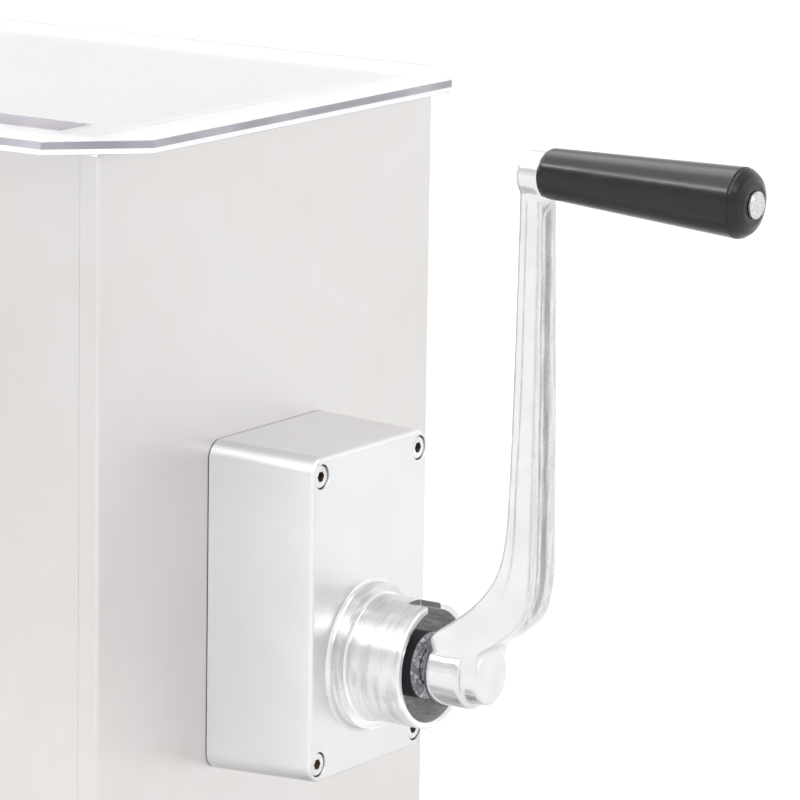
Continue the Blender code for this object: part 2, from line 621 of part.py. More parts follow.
# ---------------------------------------------------------------- crank and grip
def crank_arm():
    """The cast crank: a stepped hub, an S-shaped arm with a channel in its outer face, and an eye."""
    inner = [(0.0895, 0.0080), (0.0890, 0.0152), (0.1005, 0.0243), (0.1100, 0.0325), (0.1182, 0.0434),
             (0.1225, 0.0575), (0.1240, 0.0800), (0.1247, 0.1270), (0.1249, 0.1900), (0.1249, EYE_HEIGHT)]
    outer = [(0.1341, EYE_HEIGHT), (0.1343, 0.1870), (0.1350, 0.1200), (0.1353, 0.0600), (0.1350, 0.0420),
             (0.1313, 0.0277), (0.1225, 0.0180), (0.1122, 0.0118), (0.1090, 0.0060)]
    arm = flat("crank_arm", [inner + outer], 2 * ARM_HALF_WIDTH_LOW, at(0, 0, CRANK_Z), "XZ", "chrome",
               sharp={0, len(inner) - 1, len(inner), len(inner + outer) - 1})
    for vert in arm.data.vertices:
        share = (vert.co.y - ARM_TAPER_FROM) / (ARM_TAPER_TO - ARM_TAPER_FROM)
        share = min(1.0, max(0.0, share))
        vert.co.z *= 1 + share * (ARM_HALF_WIDTH_TOP / ARM_HALF_WIDTH_LOW - 1)
    easing = arm.modifiers.new("eased_edges", "BEVEL")
    easing.width = 0.0012
    easing.segments = 2
    easing.angle_limit = math.radians(50)
    hub = turned("hub", [(HUB_END, 0), (HUB_END, HUB_NOSE_RADIUS - 0.0013), (HUB_END - 0.0013, HUB_NOSE_RADIUS),
                         (HUB_STEP + 0.0006, HUB_NOSE_RADIUS), (HUB_STEP, HUB_RADIUS - 0.0008),
                         (HUB_STEP - 0.0008, HUB_RADIUS), (HUB_START + 0.0008, HUB_RADIUS),
                         (HUB_START, HUB_RADIUS - 0.0008), (HUB_START, 0)], at(0, 0, CRANK_Z))
    boolean(arm, hub, "UNION")
    eye = turned("eye", [(0.1345, 0), (0.1345, EYE_RADIUS - 0.0008), (0.1337, EYE_RADIUS),
                         (0.1255, EYE_RADIUS), (0.1247, EYE_RADIUS - 0.0008), (0.1247, 0)],
                 at(0, 0, CRANK_Z + EYE_HEIGHT))
    boolean(arm, eye, "UNION")
    half = CHANNEL_HALF_WIDTH
    channel = box("channel", at(0.1350 - CHANNEL_DEPTH, -half, CRANK_Z + 0.052),
                  at(0.1450, half, CRANK_Z + 0.190))
    boolean(arm, channel)
    boolean(arm, turned("hub_bore", rod(HUB_START - 0.002, 0.1080, BORE_RADIUS), at(0, 0, CRANK_Z)))
    boolean(arm, turned("pin_hole", rod(-0.020, 0.010, GRIP_BORE), grip_centre(), tilt=GRIP_TILT))
    grub = turned("grub_hole", rod(-0.020, -0.004, 0.0033), at(0.0965, 0, CRANK_Z), steps=16)
    grub.rotation_euler = (0, 0, 0)
    boolean(arm, grub)
    screw = turned("crank_grub_screw", rod(-0.0140, -SHAFT_RADIUS - GAP, 0.0030), at(0.0965, 0, CRANK_Z),
                   "steel", steps=16)
    screw.rotation_euler = (0, 0, 0)


def grip_centre():
    """The point on the grip's axis where the grip meets its washer."""
    return at(GRIP_START, 0, CRANK_Z + GRIP_HEIGHT)


def grip():
    """The tapered grip that turns on a riveted pin, with a washer against the arm."""
    end = GRIP_LENGTH
    turned("grip", [(end, GRIP_BORE), (end, 0.0085), (end - 0.0006, 0.0110), (end - 0.0022, 0.0130),
                    (end - 0.0037, 0.0138), (end - 0.0044, 0.01395), (end - 0.0048, 0.0136),
                    (end - 0.0054, 0.0143), (0.0016, 0.0103), (0.0, 0.0088), (0.0, GRIP_BORE)],
           grip_centre(), "black_plastic", steps=28, tilt=GRIP_TILT)
    turned("grip_washer", tube(-0.0010, -GAP, 0.0088, GRIP_BORE), grip_centre(), "steel", tilt=GRIP_TILT)
    reach = PIN_REACH
    tail = -0.0118
    turned("grip_pin", [(reach, 0), (reach, PIN_FACE_RADIUS), (reach - 0.0006, 0.0055), (end + GAP, 0.0055),
                        (end + GAP, PIN_RADIUS), (tail, PIN_RADIUS), (tail, 0)],
           grip_centre(), "chrome", tilt=GRIP_TILT)


# ---------------------------------------------------------------- paddles
def paddles():
    """The removable paddle tube with six bladed arms welded on it, turned a quarter from one to the next."""
    shaft = turned("paddle_tube", tube(TUBE_END, TUBE_START, TUBE_RADIUS, BORE_RADIUS), at(0, 0, PADDLE_Z), STEEL)
    boolean(shaft, cross_hole("tube_cross_hole"))
    pin = turned("drive_cross_pin", rod(-0.0105, 0.0105, 0.0030), at(-0.0145, 0, PADDLE_Z), "steel", steps=16)
    pin.rotation_euler = (0, 0, 0)
    bpy.context.view_layer.update()
    for number in range(PADDLE_COUNT):
        x = PADDLE_FIRST - number * PADDLE_PITCH
        turn = Matrix.Rotation(math.radians(90 * number), 4, "X")
        centre = at(x, 0, PADDLE_Z)
        name = f"paddle_{number + 1}"
        ring = turned(name, tube(-0.009, 0.009, 0.0160, TUBE_RADIUS + GAP), centre, STEEL)
        hand = 1 if number < PADDLE_COUNT / 2 else -1
        arm = box(name + "_arm", Vector((-0.006, -0.003, 0.0135)), Vector((0.006, 0.003, 0.092)))
        blade = box(name + "_blade", Vector((-0.022, -0.0012, -0.016)), Vector((0.022, 0.0012, 0.016)))
        place = Matrix.Translation(centre) @ turn
        arm.matrix_world = place @ Matrix.Translation(arm.location)
        blade.matrix_world = (place @ Matrix.Translation((0, 0, PADDLE_REACH - 0.016))
                              @ Matrix.Rotation(hand * PADDLE_TWIST, 4, "Z"))
        boolean(ring, arm, "UNION")
        boolean(ring, blade, "UNION")


def idle_bolts():
    """The two screw places beside the idle bearing."""
    return [Matrix.Translation((0, side * IDLE_BOLT_RADIUS, PADDLE_Z)) for side in (-1, 1)]


def idle_end():
    """The bearing on the far end, and the pull-out pin with its knob that frees the paddle tube."""
    face = -TANK_LENGTH
    bolts = idle_bolts()
    bearing = turned("idle_bearing", [(face - GAP, BORE_RADIUS), (face - GAP, 0.0260), (face - 0.0045, 0.0260),
                                      (face - 0.0050, 0.0255), (face - 0.0050, 0.0150), (face - 0.0185, 0.0140),
                                      (face - 0.0185, BORE_RADIUS)], at(0, 0, PADDLE_Z), "aluminium", steps=28)
    drill = turned("idle_drill", rod(face - 0.007, face + 0.002, 0.0028), at(0, 0, 0), steps=16)
    boolean(bearing, repeat("idle_drills", drill, bolts))
    turned("idle_seal", [(face + 0.0041, BORE_RADIUS), (face + 0.0041, 0.0142), (face + SHEET + GAP, 0.0142),
                         (face + SHEET + GAP, 0.0112), (face, 0.0112), (face, BORE_RADIUS)],
           at(0, 0, PADDLE_Z), "white_plastic")
    screw = turned("idle_screw", [(face + 0.0065, 0), (face + 0.0065, 0.0025), (face - 0.0053, 0.0025),
                                  (face - 0.0053, 0.0043), (face - 0.0070, 0.0038), (face - 0.0080, 0.0020),
                                  (face - 0.0080, 0)], at(0, 0, 0), steps=16)
    copies(("idle_screw_front", "idle_screw_back"), screw, bolts, "steel")
    copies(("idle_nut_front", "idle_nut_back"), cap_nut(face + SHEET + GAP, 1), bolts, "steel")
    turned("idle_pin", [(-0.318, 0), (-0.318, SHAFT_RADIUS - 0.002), (-0.321, SHAFT_RADIUS),
                        (-0.3725, SHAFT_RADIUS), (-0.3725, 0)], at(0, 0, PADDLE_Z), "steel")
    lobes = 6
    outline = []
    for i in range(6 * lobes):
        angle = 2 * math.pi * i / (6 * lobes)
        radius = 0.0180 + 0.0018 * math.cos(lobes * angle)
        outline.append((radius * math.cos(angle), radius * math.sin(angle)))
    front = face - 0.0195
    knob = flat("idle_knob", [outline], IDLE_REACH + front, at((front - IDLE_REACH) / 2, 0, PADDLE_Z), "YZ",
                "black_plastic")
    boolean(knob, turned("knob_bore", rod(-0.3732, front + 0.002, BORE_RADIUS), at(0, 0, PADDLE_Z)))
    easing = knob.modifiers.new("eased_rim", "BEVEL")
    easing.width = 0.0015
    easing.segments = 1
    easing.angle_limit = math.radians(60)


clear_scene()
PARTS = collection("tank_mixer")
CUTTERS = collection("cutters")

end_panel("drive_end_panel", 0.0, -1, 0.0135, corners(*SCREW_HALF_SPACING, GEARBOX_Z))
end_panel("idle_end_panel", -TANK_LENGTH, 1, 0.0115, idle_bolts())
side_panel("front_panel", -1)
side_panel("back_panel", 1)
trough()
legs()
lid()
gearbox_housing()
gearbox_closing()
gear_train()
crank_arm()
grip()
paddles()
idle_end()
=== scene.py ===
"""Looks for the hand-cranked tank mixer: finer pieces, finishes, floor, light and camera round the frame.

Metres, in the frame's own axes. Points are given with at(x, y, z): x from the outer face of the drive end
panel, y from the mid-plane, z from the rim of the tank.
"""

import json
import math

import bmesh
import bpy
from mathutils import Matrix, Vector


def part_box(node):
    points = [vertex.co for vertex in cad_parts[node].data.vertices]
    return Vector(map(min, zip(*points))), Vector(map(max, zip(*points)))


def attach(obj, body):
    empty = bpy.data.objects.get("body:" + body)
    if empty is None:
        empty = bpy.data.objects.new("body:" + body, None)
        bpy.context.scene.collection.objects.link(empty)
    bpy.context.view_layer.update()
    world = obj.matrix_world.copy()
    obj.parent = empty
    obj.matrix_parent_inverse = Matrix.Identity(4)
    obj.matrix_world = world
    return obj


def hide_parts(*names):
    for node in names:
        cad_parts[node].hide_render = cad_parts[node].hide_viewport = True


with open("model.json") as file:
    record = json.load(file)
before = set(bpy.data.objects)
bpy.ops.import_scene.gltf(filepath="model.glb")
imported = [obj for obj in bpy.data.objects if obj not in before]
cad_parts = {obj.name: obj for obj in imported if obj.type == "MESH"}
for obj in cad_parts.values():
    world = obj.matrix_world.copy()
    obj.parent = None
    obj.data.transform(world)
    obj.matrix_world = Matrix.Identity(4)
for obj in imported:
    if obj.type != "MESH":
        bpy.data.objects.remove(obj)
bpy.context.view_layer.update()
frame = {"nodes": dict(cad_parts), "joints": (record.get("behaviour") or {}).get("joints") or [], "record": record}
JOINTS = {joint["name"]: joint for joint in frame["joints"]}

# ---------------------------------------------------------------- places, from the frame
DRIVE_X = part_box("drive_end_panel")[1].x
RIM_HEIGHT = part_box("drive_end_panel")[1].z
CRANK_Z = JOINTS["crank_spin"]["pos_m"][2] - RIM_HEIGHT
PADDLE_Z = JOINTS["paddle_spin"]["pos_m"][2] - RIM_HEIGHT
GRIP_PLACE = Vector(JOINTS["grip_spin"]["pos_m"])
GRIP_AXIS = Vector(JOINTS["grip_spin"]["axis"]).normalized()
GAP = 0.0003
SHAFT_BORE = 0.0083
M5_HOLE = 0.0028
ALONG_X = Vector((1, 0, 0))
ALONG_Z = Vector((0, 0, 1))


def at(x, y, z):
    """A point given from the drive panel's outer face, the mid-plane and the rim."""
    return Vector((DRIVE_X + x, y, RIM_HEIGHT + z))


# ---------------------------------------------------------------- shape tools
def arc(centre, radius, start, end, steps):
    """Points along a circular arc, angles in degrees."""
    points = []
    for i in range(steps + 1):
        angle = math.radians(start + (end - start) * i / steps)
        points.append((centre[0] + radius * math.cos(angle), centre[1] + radius * math.sin(angle)))
    return points


def eased(corners, steps=5, closed=False):
    """A polyline with round corners, from (u, v, radius) corners."""
    points = []
    count = len(corners)
    for i, (u, v, radius) in enumerate(corners):
        here = Vector((u, v))
        if radius == 0 or (not closed and i in (0, count - 1)):
            points.append((u, v))
            continue
        before = Vector(corners[i - 1][:2]) - here
        after = Vector(corners[(i + 1) % count][:2]) - here
        half = before.angle(after) / 2
        reach = min(radius / math.tan(half), before.length * 0.49, after.length * 0.49)
        first = here + before.normalized() * reach
        last = here + after.normalized() * reach
        for k in range(steps + 1):
            t = k / steps
            weight = math.sin(half)
            a, b, c = (1 - t) ** 2, 2 * t * (1 - t) * weight, t * t
            points.append(tuple((first * a + here * b + last * c) / (a + b + c)))
    return points


def mesh_object(name, mesh):
    obj = bpy.data.objects.new(name, mesh)
    bpy.context.scene.collection.objects.link(obj)
    return obj


def from_bmesh(name, bm):
    mesh = bpy.data.meshes.new(name)
    bm.to_mesh(mesh)
    bm.free()
    return mesh_object(name, mesh)


def turned(name, profile, centre, axis=ALONG_X, steps=96):
    """A turned solid, its profile (along, radius) pairs from the far end of the axis to the near end."""
    side = ALONG_Z if abs(axis.z) < 0.9 else ALONG_X
    across = axis.cross(side).normalized()
    up = across.cross(axis).normalized()
    bm = bmesh.new()
    rings = []
    for along, radius in profile:
        if radius < 1e-7:
            rings.append([bm.verts.new(centre + axis * along)])
            continue
        ring = []
        for k in range(steps):
            angle = 2 * math.pi * k / steps
            spoke = across * math.cos(angle) + up * math.sin(angle)
            ring.append(bm.verts.new(centre + axis * along + spoke * radius))
        rings.append(ring)
    pairs = list(zip(rings, rings[1:]))
    if profile[0][1] > 0:
        pairs.append((rings[-1], rings[0]))
    for first, second in pairs:
        for k in range(steps):
            n = (k + 1) % steps
            corners = [first[k % len(first)], first[n % len(first)],
                       second[n % len(second)], second[k % len(second)]]
            face = [v for i, v in enumerate(corners) if v not in corners[:i]]
            if len(face) > 2:
                bm.faces.new(face)
    bmesh.ops.recalc_face_normals(bm, faces=bm.faces)
    return from_bmesh(name, bm)


def box_bmesh(low, high):
    """A bmesh box between two corners."""
    bm = bmesh.new()
    place = Matrix.Translation((low + high) / 2) @ Matrix.Diagonal((*(high - low), 1.0))
    bmesh.ops.create_cube(bm, size=1.0, matrix=place)
    return bm


def bevelled(bm, edges, offset, segments):
    """Round edges on a bmesh."""
    bmesh.ops.bevel(bm, geom=edges, offset=offset, segments=segments, affect="EDGES", profile=0.5)


PLANES = {"YZ": (math.pi / 2, 0, math.pi / 2), "XY": (0, 0, 0)}
WELD_DISTANCE = 0.00002
FLAT_ANGLE = math.radians(0.5)
SHARP_ANGLE = math.radians(50)


def plate(name, loops, thickness, centre, plane, edge=0.0):
    """A plate from closed outlines in a plane, holes included, its edges eased where edge is given."""
    curve = bpy.data.curves.new(name, "CURVE")
    curve.dimensions = "2D"
    curve.fill_mode = "BOTH"
    curve.extrude = thickness / 2
    for loop in loops:
        spline = curve.splines.new("POLY")
        spline.points.add(len(loop) - 1)
        for point, (u, v) in zip(spline.points, loop):
            point.co = (u, v, 0, 1)
        spline.use_cyclic_u = True
    sketch = mesh_object(name + "_sketch", curve)
    sketch.location = centre
    sketch.rotation_euler = PLANES[plane]
    obj = applied(name, sketch)
    bm = bmesh.new()
    bm.from_mesh(obj.data)
    bmesh.ops.remove_doubles(bm, verts=bm.verts, dist=WELD_DISTANCE)
    bmesh.ops.dissolve_limit(bm, angle_limit=FLAT_ANGLE, verts=bm.verts, edges=bm.edges)
    if edge:
        sharp = [e for e in bm.edges if len(e.link_faces) == 2 and e.calc_face_angle() > SHARP_ANGLE]
        bevelled(bm, sharp, edge, 2)
    bm.to_mesh(obj.data)
    bm.free()
    return obj


def applied(name, obj):
    """A new plain mesh object of what obj shows, in place of it."""
    bpy.context.view_layer.update()
    graph = bpy.context.evaluated_depsgraph_get()
    mesh = bpy.data.meshes.new_from_object(obj.evaluated_get(graph))
    mesh.transform(obj.matrix_world)
    mesh.materials.clear()
    bpy.data.objects.remove(obj, do_unlink=True)
    made = mesh_object(name, mesh)
    made.name = name
    return made


def combined(target, steps, crossed=False):
    """target after exact Boolean steps, each (operation, tool); crossed if a surface may cross itself."""
    for operation, tool in steps:
        modifier = target.modifiers.new(tool.name, "BOOLEAN")
        modifier.operation = operation
        modifier.solver = "EXACT"
        modifier.use_self = crossed
        modifier.object = tool
    made = applied(target.name, target)
    for _, tool in steps:
        bpy.data.objects.remove(tool, do_unlink=True)
    return made


def shaded(obj, angle=32):
    """Smooth shading with sharp edges kept, and flat faces kept flat."""
    obj.data.shade_smooth()
    obj.data.set_sharp_from_angle(angle=math.radians(angle))
    normals = obj.modifiers.new("weighted", "WEIGHTED_NORMAL")
    normals.keep_sharp = True
    return obj


def settle(obj, body, look, node):
    """The piece's finish, unless it has its own, the CAD node that it stands for and its body."""
    if not obj.data.materials:
        obj.data.materials.append(look)
    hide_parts(node)
    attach(obj, body)


# ---------------------------------------------------------------- node tools
class Graph:
    """Short calls that build a node tree and hand back sockets."""

    def __init__(self, tree):
        self.tree = tree

    def node(self, kind, values, **settings):
        made = self.tree.nodes.new("ShaderNode" + kind)
        for key, value in settings.items():
            setattr(made, key, value)
        for key, value in values.items():
            if isinstance(value, bpy.types.NodeSocket):
                self.tree.links.new(value, made.inputs[key])
            else:
                made.inputs[key].default_value = value
        return made

    def math(self, operation, a, b=0.0):
        return self.node("Math", {0: a, 1: b}, operation=operation).outputs[0]

    def plus(self, a, b):
        return self.math("ADD", a, b)

    def times(self, a, b):
        return self.math("MULTIPLY", a, b)

    def scaled(self, vector, factors):
        return self.node("VectorMath", {0: vector, 1: factors}, operation="MULTIPLY").outputs[0]

    def joined(self, x, y, z=0.0):
        return self.node("CombineXYZ", {0: x, 1: y, 2: z}).outputs[0]

    def noise(self, where, scale, detail=2.0, distortion=0.0):
        values = {"Vector": where, "Scale": scale, "Detail": detail, "Distortion": distortion}
        return self.node("TexNoise", values).outputs[0]

    def ramp(self, value, low, high, to_low=0.0, to_high=1.0, kind="SMOOTHSTEP"):
        values = {"Value": value, "From Min": low, "From Max": high, "To Min": to_low, "To Max": to_high}
        return self.node("MapRange", values, interpolation_type=kind).outputs[0]

    def blend(self, share, first, second):
        return self.node("MixRGB", {"Fac": share, "Color1": first, "Color2": second}).outputs[0]

    def split(self, vector):
        return self.node("SeparateXYZ", {0: vector}).outputs

    def bump(self, height, distance, strength=1.0, under=None):
        values = {"Height": height, "Distance": distance, "Strength": strength}
        if under is not None:
            values["Normal"] = under
        return self.node("Bump", values).outputs[0]


class Finish(Graph):
    """A Principled material whose patterns lie in the object's own coordinates."""

    def __init__(self, name, metallic=0.0, **sockets):
        self.material = bpy.data.materials.new(name)
        self.material.use_nodes = True
        super().__init__(self.material.node_tree)
        self.shader = self.tree.nodes["Principled BSDF"]
        self.shader.inputs["Metallic"].default_value = metallic
        for key, value in sockets.items():
            self.shader.inputs[key.replace("_", " ")].default_value = value
        self.where = self.node("TexCoord", {}).outputs["Object"]

    def set(self, key, socket):
        self.tree.links.new(socket, self.shader.inputs[key])

    def streaked(self, factors, detail, distortion=0.0):
        """Noise stretched by its own scale along each axis."""
        return self.noise(self.scaled(self.where, factors), 1.0, detail, distortion)

    def about_crank(self):
        """x, y, the height over the crank axis and the distance from it."""
        x, y, z = self.split(self.where)
        up = self.math("SUBTRACT", z, RIM_HEIGHT + CRANK_Z)
        radius = self.math("SQRT", self.plus(self.times(y, y), self.times(up, up)))
        return x, y, up, radius

    def patched(self, dark, light, scale):
        """Colour that drifts between two tones."""
        share = self.ramp(self.noise(self.where, scale, 3.0), 0.35, 0.65)
        self.set("Base Color", self.blend(share, (*dark, 1.0), (*light, 1.0)))

    def grained(self, low, high, scale, depth):
        """Roughness from a grain, with a relief of the same grain."""
        grain = self.streaked((scale,) * 3, 3.0)
        self.set("Roughness", self.ramp(grain, 0.25, 0.75, low, high, "LINEAR"))
        self.set("Normal", self.bump(grain, depth))


def sheet_finish(name, foot, head):
    """Satin stainless sheet: an upright grain, ripples, faint mottling, and painted light and shade, a gain low
    down and another high up, blended by height.
    """
    look = Finish(name, 1.0)
    # painted light and shade: the base colour is scaled by height, by foot low down and by head high up
    painted_light_shade_gain = look.ramp(look.split(look.where)[2], RIM_HEIGHT - 0.26, RIM_HEIGHT - 0.12, foot, head)
    broad = look.ramp(look.noise(look.where, 7.0, 3.0), 0.3, 0.7)
    blotch = look.ramp(look.noise(look.where, 38.0, 2.0, 0.6), 0.35, 0.7)
    tone = look.blend(broad, (0.651, 0.632, 0.621, 1.0), (0.688, 0.674, 0.666, 1.0))
    tone = look.blend(look.times(blotch, 0.35), tone, (0.700, 0.688, 0.682, 1.0))
    look.set("Base Color", look.scaled(tone, look.joined(painted_light_shade_gain, painted_light_shade_gain, painted_light_shade_gain)))
    grain = look.streaked((1900.0, 1900.0, 26.0), 2.0)
    rough = look.ramp(look.noise(look.where, 14.0, 2.0), 0.3, 0.7, 0.30, 0.38)
    look.set("Roughness", look.plus(rough, look.times(grain, 0.08)))
    ripple = look.bump(look.noise(look.where, 9.0, 1.0), 0.0016, 0.5)
    look.set("Normal", look.bump(grain, 0.000012, 1.0, ripple))
    return look.material


def aluminium_finish():
    """Satin machined aluminium: lathe rings and dull streaks near the crank axis, with painted light that makes it
    paler and less metallic under the ring.
    """
    look = Finish("machined_aluminium", 1.0)
    drift = look.ramp(look.noise(look.where, 22.0, 1.0), 0.1, 0.9, kind="LINEAR")
    tone = look.blend(drift, (0.712, 0.710, 0.716, 1.0), (0.788, 0.786, 0.792, 1.0))
    x, y, up, radius = look.about_crank()
    near = look.ramp(radius, 0.0306, 0.0345, 1.0, 0.0)
    lines = look.noise(look.joined(look.times(x, 2600.0), look.times(radius, 2600.0)), 1.0, 1.0)
    around = look.times(look.math("ARCTAN2", up, y), 1.6)
    bands = look.joined(look.times(x, 420.0), look.times(radius, 700.0), around)
    dull = look.ramp(look.noise(bands, 1.0, 4.0, 0.3), 0.42, 0.66)
    boss = look.ramp(x, DRIVE_X + 0.0520, DRIVE_X + 0.0535)
    # painted light: below the crank axis and past the boss, the colour is lifted towards white and the metallic
    # lowered
    under = look.times(look.ramp(up, 0.001, -0.014), boss)
    tone = look.blend(under, tone, (0.92, 0.918, 0.925, 1.0))
    streaks = look.times(look.times(dull, near), 0.50)
    look.set("Base Color", look.blend(streaks, tone, (0.50, 0.50, 0.515, 1.0)))
    speck = look.noise(look.where, 900.0, 2.0)
    relief = look.blend(near, speck, lines)
    rough = look.ramp(look.noise(look.where, 60.0, 1.0), 0.1, 0.9, 0.285, 0.345, "LINEAR")
    look.set("Roughness", look.math("SUBTRACT", rough, look.times(near, 0.085)))
    flank = look.ramp(look.math("ABSOLUTE", y), 0.0400, 0.0428)
    satin = look.plus(look.times(flank, 0.34), look.times(under, 0.45))
    look.set("Metallic", look.math("SUBTRACT", 1.0, satin))
    slow = look.bump(look.noise(look.where, 45.0, 1.0), 0.0004, 0.35)
    look.set("Normal", look.bump(relief, 0.00001, 0.9, slow))
    return look.material


def rough_cast_finish():
    """The unmachined wall inside the ring: mottled, streaked along the bore and matt, its tones lifted towards
    white as painted light in the shaded bore, and darkened in the notch as painted shade.
    """
    look = Finish("rough_cast_wall", 0.62)
    streak = look.streaked((90.0, 330.0, 330.0), 4.0, 0.7)
    pits = look.noise(look.where, 420.0, 3.0, 0.4)
    mottle = look.ramp(look.plus(look.times(streak, 0.65), look.times(pits, 0.35)), 0.36, 0.66)
    # painted light: the mottled tones run up to white to stand in for light that the shaded bore lacks
    tone = look.blend(mottle, (0.66, 0.65, 0.66, 1.0), (1.0, 0.99, 1.0, 1.0))
    x, _, _, radius = look.about_crank()
    # painted shade: the notch walls past the floor are darkened
    past_floor = look.ramp(x, DRIVE_X + 0.0600, DRIVE_X + 0.0610)
    notch = look.times(look.ramp(radius, 0.0237, 0.0242), past_floor)
    look.set("Base Color", look.blend(notch, tone, (0.30, 0.295, 0.305, 1.0)))
    look.set("Roughness", look.ramp(pits, 0.3, 0.7, 0.48, 0.28, "LINEAR"))
    look.set("Normal", look.bump(pits, 0.0003, 0.4))
    return look.material


def chrome_finish():
    """Bright chrome on an uneven casting, duller in the cast channel, with painted shade that dulls the outer
    face's lips, the far one more, and a broken parting line beside a painted dark reflection along the outer
    corner edge.
    """
    look = Finish("crank_chrome", 1.0)
    # the cast channel's own dullness, and painted shade on the outer face's lips
    cast = look.node("Attribute", {}, attribute_name="cast_channel").outputs["Fac"]
    parting_and_dark_edge = look.node("Attribute", {}, attribute_name="parting_line").outputs["Fac"]
    fleck = look.noise(look.where, 750.0, 3.0)
    drift = look.ramp(look.noise(look.where, 60.0, 2.0), 0.3, 0.7)
    tone = look.blend(drift, (0.705, 0.705, 0.713, 1.0), (0.770, 0.770, 0.777, 1.0))
    run = look.streaked((900.0, 900.0, 60.0), 3.0)
    mixed = look.plus(look.times(fleck, 0.25), look.times(run, 0.75))
    dull = look.blend(look.ramp(mixed, 0.38, 0.62), (0.565, 0.565, 0.575, 1.0), (0.745, 0.745, 0.755, 1.0))
    tone = look.blend(cast, tone, dull)
    # the broken parting line, and a painted dark reflection along the outer corner edge
    gaps = look.ramp(look.noise(look.where, 260.0, 2.0), 0.3, 0.7, 0.5, 1.0)
    broken = look.times(look.times(parting_and_dark_edge, gaps), 0.80)
    look.set("Base Color", look.blend(broken, tone, (0.40, 0.40, 0.41, 1.0)))
    smooth = look.ramp(look.noise(look.where, 130.0, 2.0), 0.3, 0.7, 0.08, 0.15)
    look.set("Roughness", look.plus(smooth, look.times(cast, 0.25)))
    lumps = look.bump(look.noise(look.where, 90.0, 1.0), 0.0005, 0.28)
    relief = look.times(fleck, look.plus(look.times(cast, 0.8), 0.2))
    look.set("Normal", look.bump(relief, 0.00004, 0.5, lumps))
    return look.material


def steel_finish(name, dark, light, rough=(0.18, 0.26)):
    """Small metal parts: two mixed tones and a fine grain."""
    look = Finish(name, 1.0)
    look.patched(dark, light, 120.0)
    look.grained(*rough, 700.0, 0.00001)
    return look.material


def pin_finish():
    """A peened pin end, dented and dull."""
    look = Finish("peened_pin", 1.0)
    dents = look.noise(look.where, 900.0, 3.0, 0.6)
    tone = look.blend(look.ramp(dents, 0.35, 0.7), (0.52, 0.52, 0.53, 1.0), (0.74, 0.74, 0.75, 1.0))
    look.set("Base Color", tone)
    look.set("Roughness", look.ramp(dents, 0.3, 0.7, 0.28, 0.42, "LINEAR"))
    look.set("Normal", look.bump(dents, 0.0002, 0.5))
    return look.material


def grip_finish():
    """Glossy moulded black plastic with faint handling marks."""
    look = Finish("gloss_black_plastic", 0.0, Specular_IOR_Level=0.43)
    look.patched((0.0026, 0.0025, 0.0034), (0.0050, 0.0047, 0.0062), 90.0)
    scuff = look.streaked((60.0, 420.0, 420.0), 4.0, 0.5)
    look.set("Roughness", look.ramp(scuff, 0.3, 0.7, 0.17, 0.27, "LINEAR"))
    fine = look.noise(look.where, 1500.0, 2.0)
    broad = look.bump(look.noise(look.where, 150.0, 1.0), 0.00012, 0.5)
    look.set("Normal", look.bump(fine, 0.000008, 0.6, broad))
    return look.material


def bush_finish(face_x):
    """Dull black plastic whose front face is a streaked blue grey."""
    look = Finish("scuffed_black_plastic")
    x = look.split(look.where)[0]
    front = look.ramp(x, face_x - 0.0009, face_x - 0.0002)
    face_streaks = look.streaked((300.0, 420.0, 520.0), 5.0, 0.5)
    face_tone = look.blend(look.ramp(face_streaks, 0.44, 0.66), (0.22, 0.225, 0.255, 1.0), (0.74, 0.75, 0.79, 1.0))
    look.set("Base Color", look.blend(front, (0.030, 0.031, 0.036, 1.0), face_tone))
    look.set("Roughness", look.ramp(face_streaks, 0.3, 0.7, 0.28, 0.5, "LINEAR"))
    look.set("Normal", look.bump(face_streaks, 0.00003, 0.35))
    return look.material


def plastic_finish(name, dark, light, rough, scale=400.0, depth=0.00002):
    """Moulded plastic or rubber: two close tones and a grain of the given scale."""
    look = Finish(name)
    look.patched(dark, light, 80.0)
    look.grained(*rough, scale, depth)
    return look.material


def acrylic_finish():
    """Clear polished sheet under a faint white haze, with wipe marks."""
    look = Finish("clear_acrylic", 0.0, IOR=1.49, Transmission_Weight=1.0)
    wipe = look.streaked((9.0, 40.0, 9.0), 3.0)
    look.patched((0.965, 0.968, 0.980), (0.985, 0.987, 0.995), 8.0)
    look.set("Roughness", look.ramp(wipe, 0.3, 0.7, 0.0, 0.035, "LINEAR"))
    veil = look.node("BsdfDiffuse", {"Color": (0.86, 0.855, 0.875, 1.0)})
    share = look.ramp(look.noise(look.where, 16.0, 3.0), 0.3, 0.7, HAZE_LOW, HAZE_HIGH)
    mixed = look.node("MixShader", {0: share, 1: look.shader.outputs[0], 2: veil.outputs[0]})
    look.tree.links.new(mixed.outputs[0], look.tree.nodes["Material Output"].inputs["Surface"])
    return look.material


def painted_reflection_edge_finish(name, low, high, dark, light):
    """A cut and polished edge in painted reflection, grey violet above and light below, with fine cutter marks."""
    look = Finish(name, 0.0, IOR=1.49)
    z = look.split(look.where)[2]
    level = look.ramp(z, low, high, 0.0, 1.0, "LINEAR")
    marks = look.streaked((900.0, 900.0, 140.0), 2.0)
    violet = look.blend(look.ramp(look.noise(look.where, 30.0, 2.0), 0.35, 0.65), (*dark, 1.0), (*light, 1.0))
    # painted reflection: light low on the edge, grey violet higher up
    look.set("Base Color", look.blend(look.ramp(level, 0.40, 0.46), (0.80, 0.80, 0.82, 1.0), violet))
    look.set("Roughness", look.ramp(marks, 0.3, 0.7, 0.06, 0.16, "LINEAR"))
    look.set("Normal", look.bump(marks, 0.00001, 0.6))
    return look.material


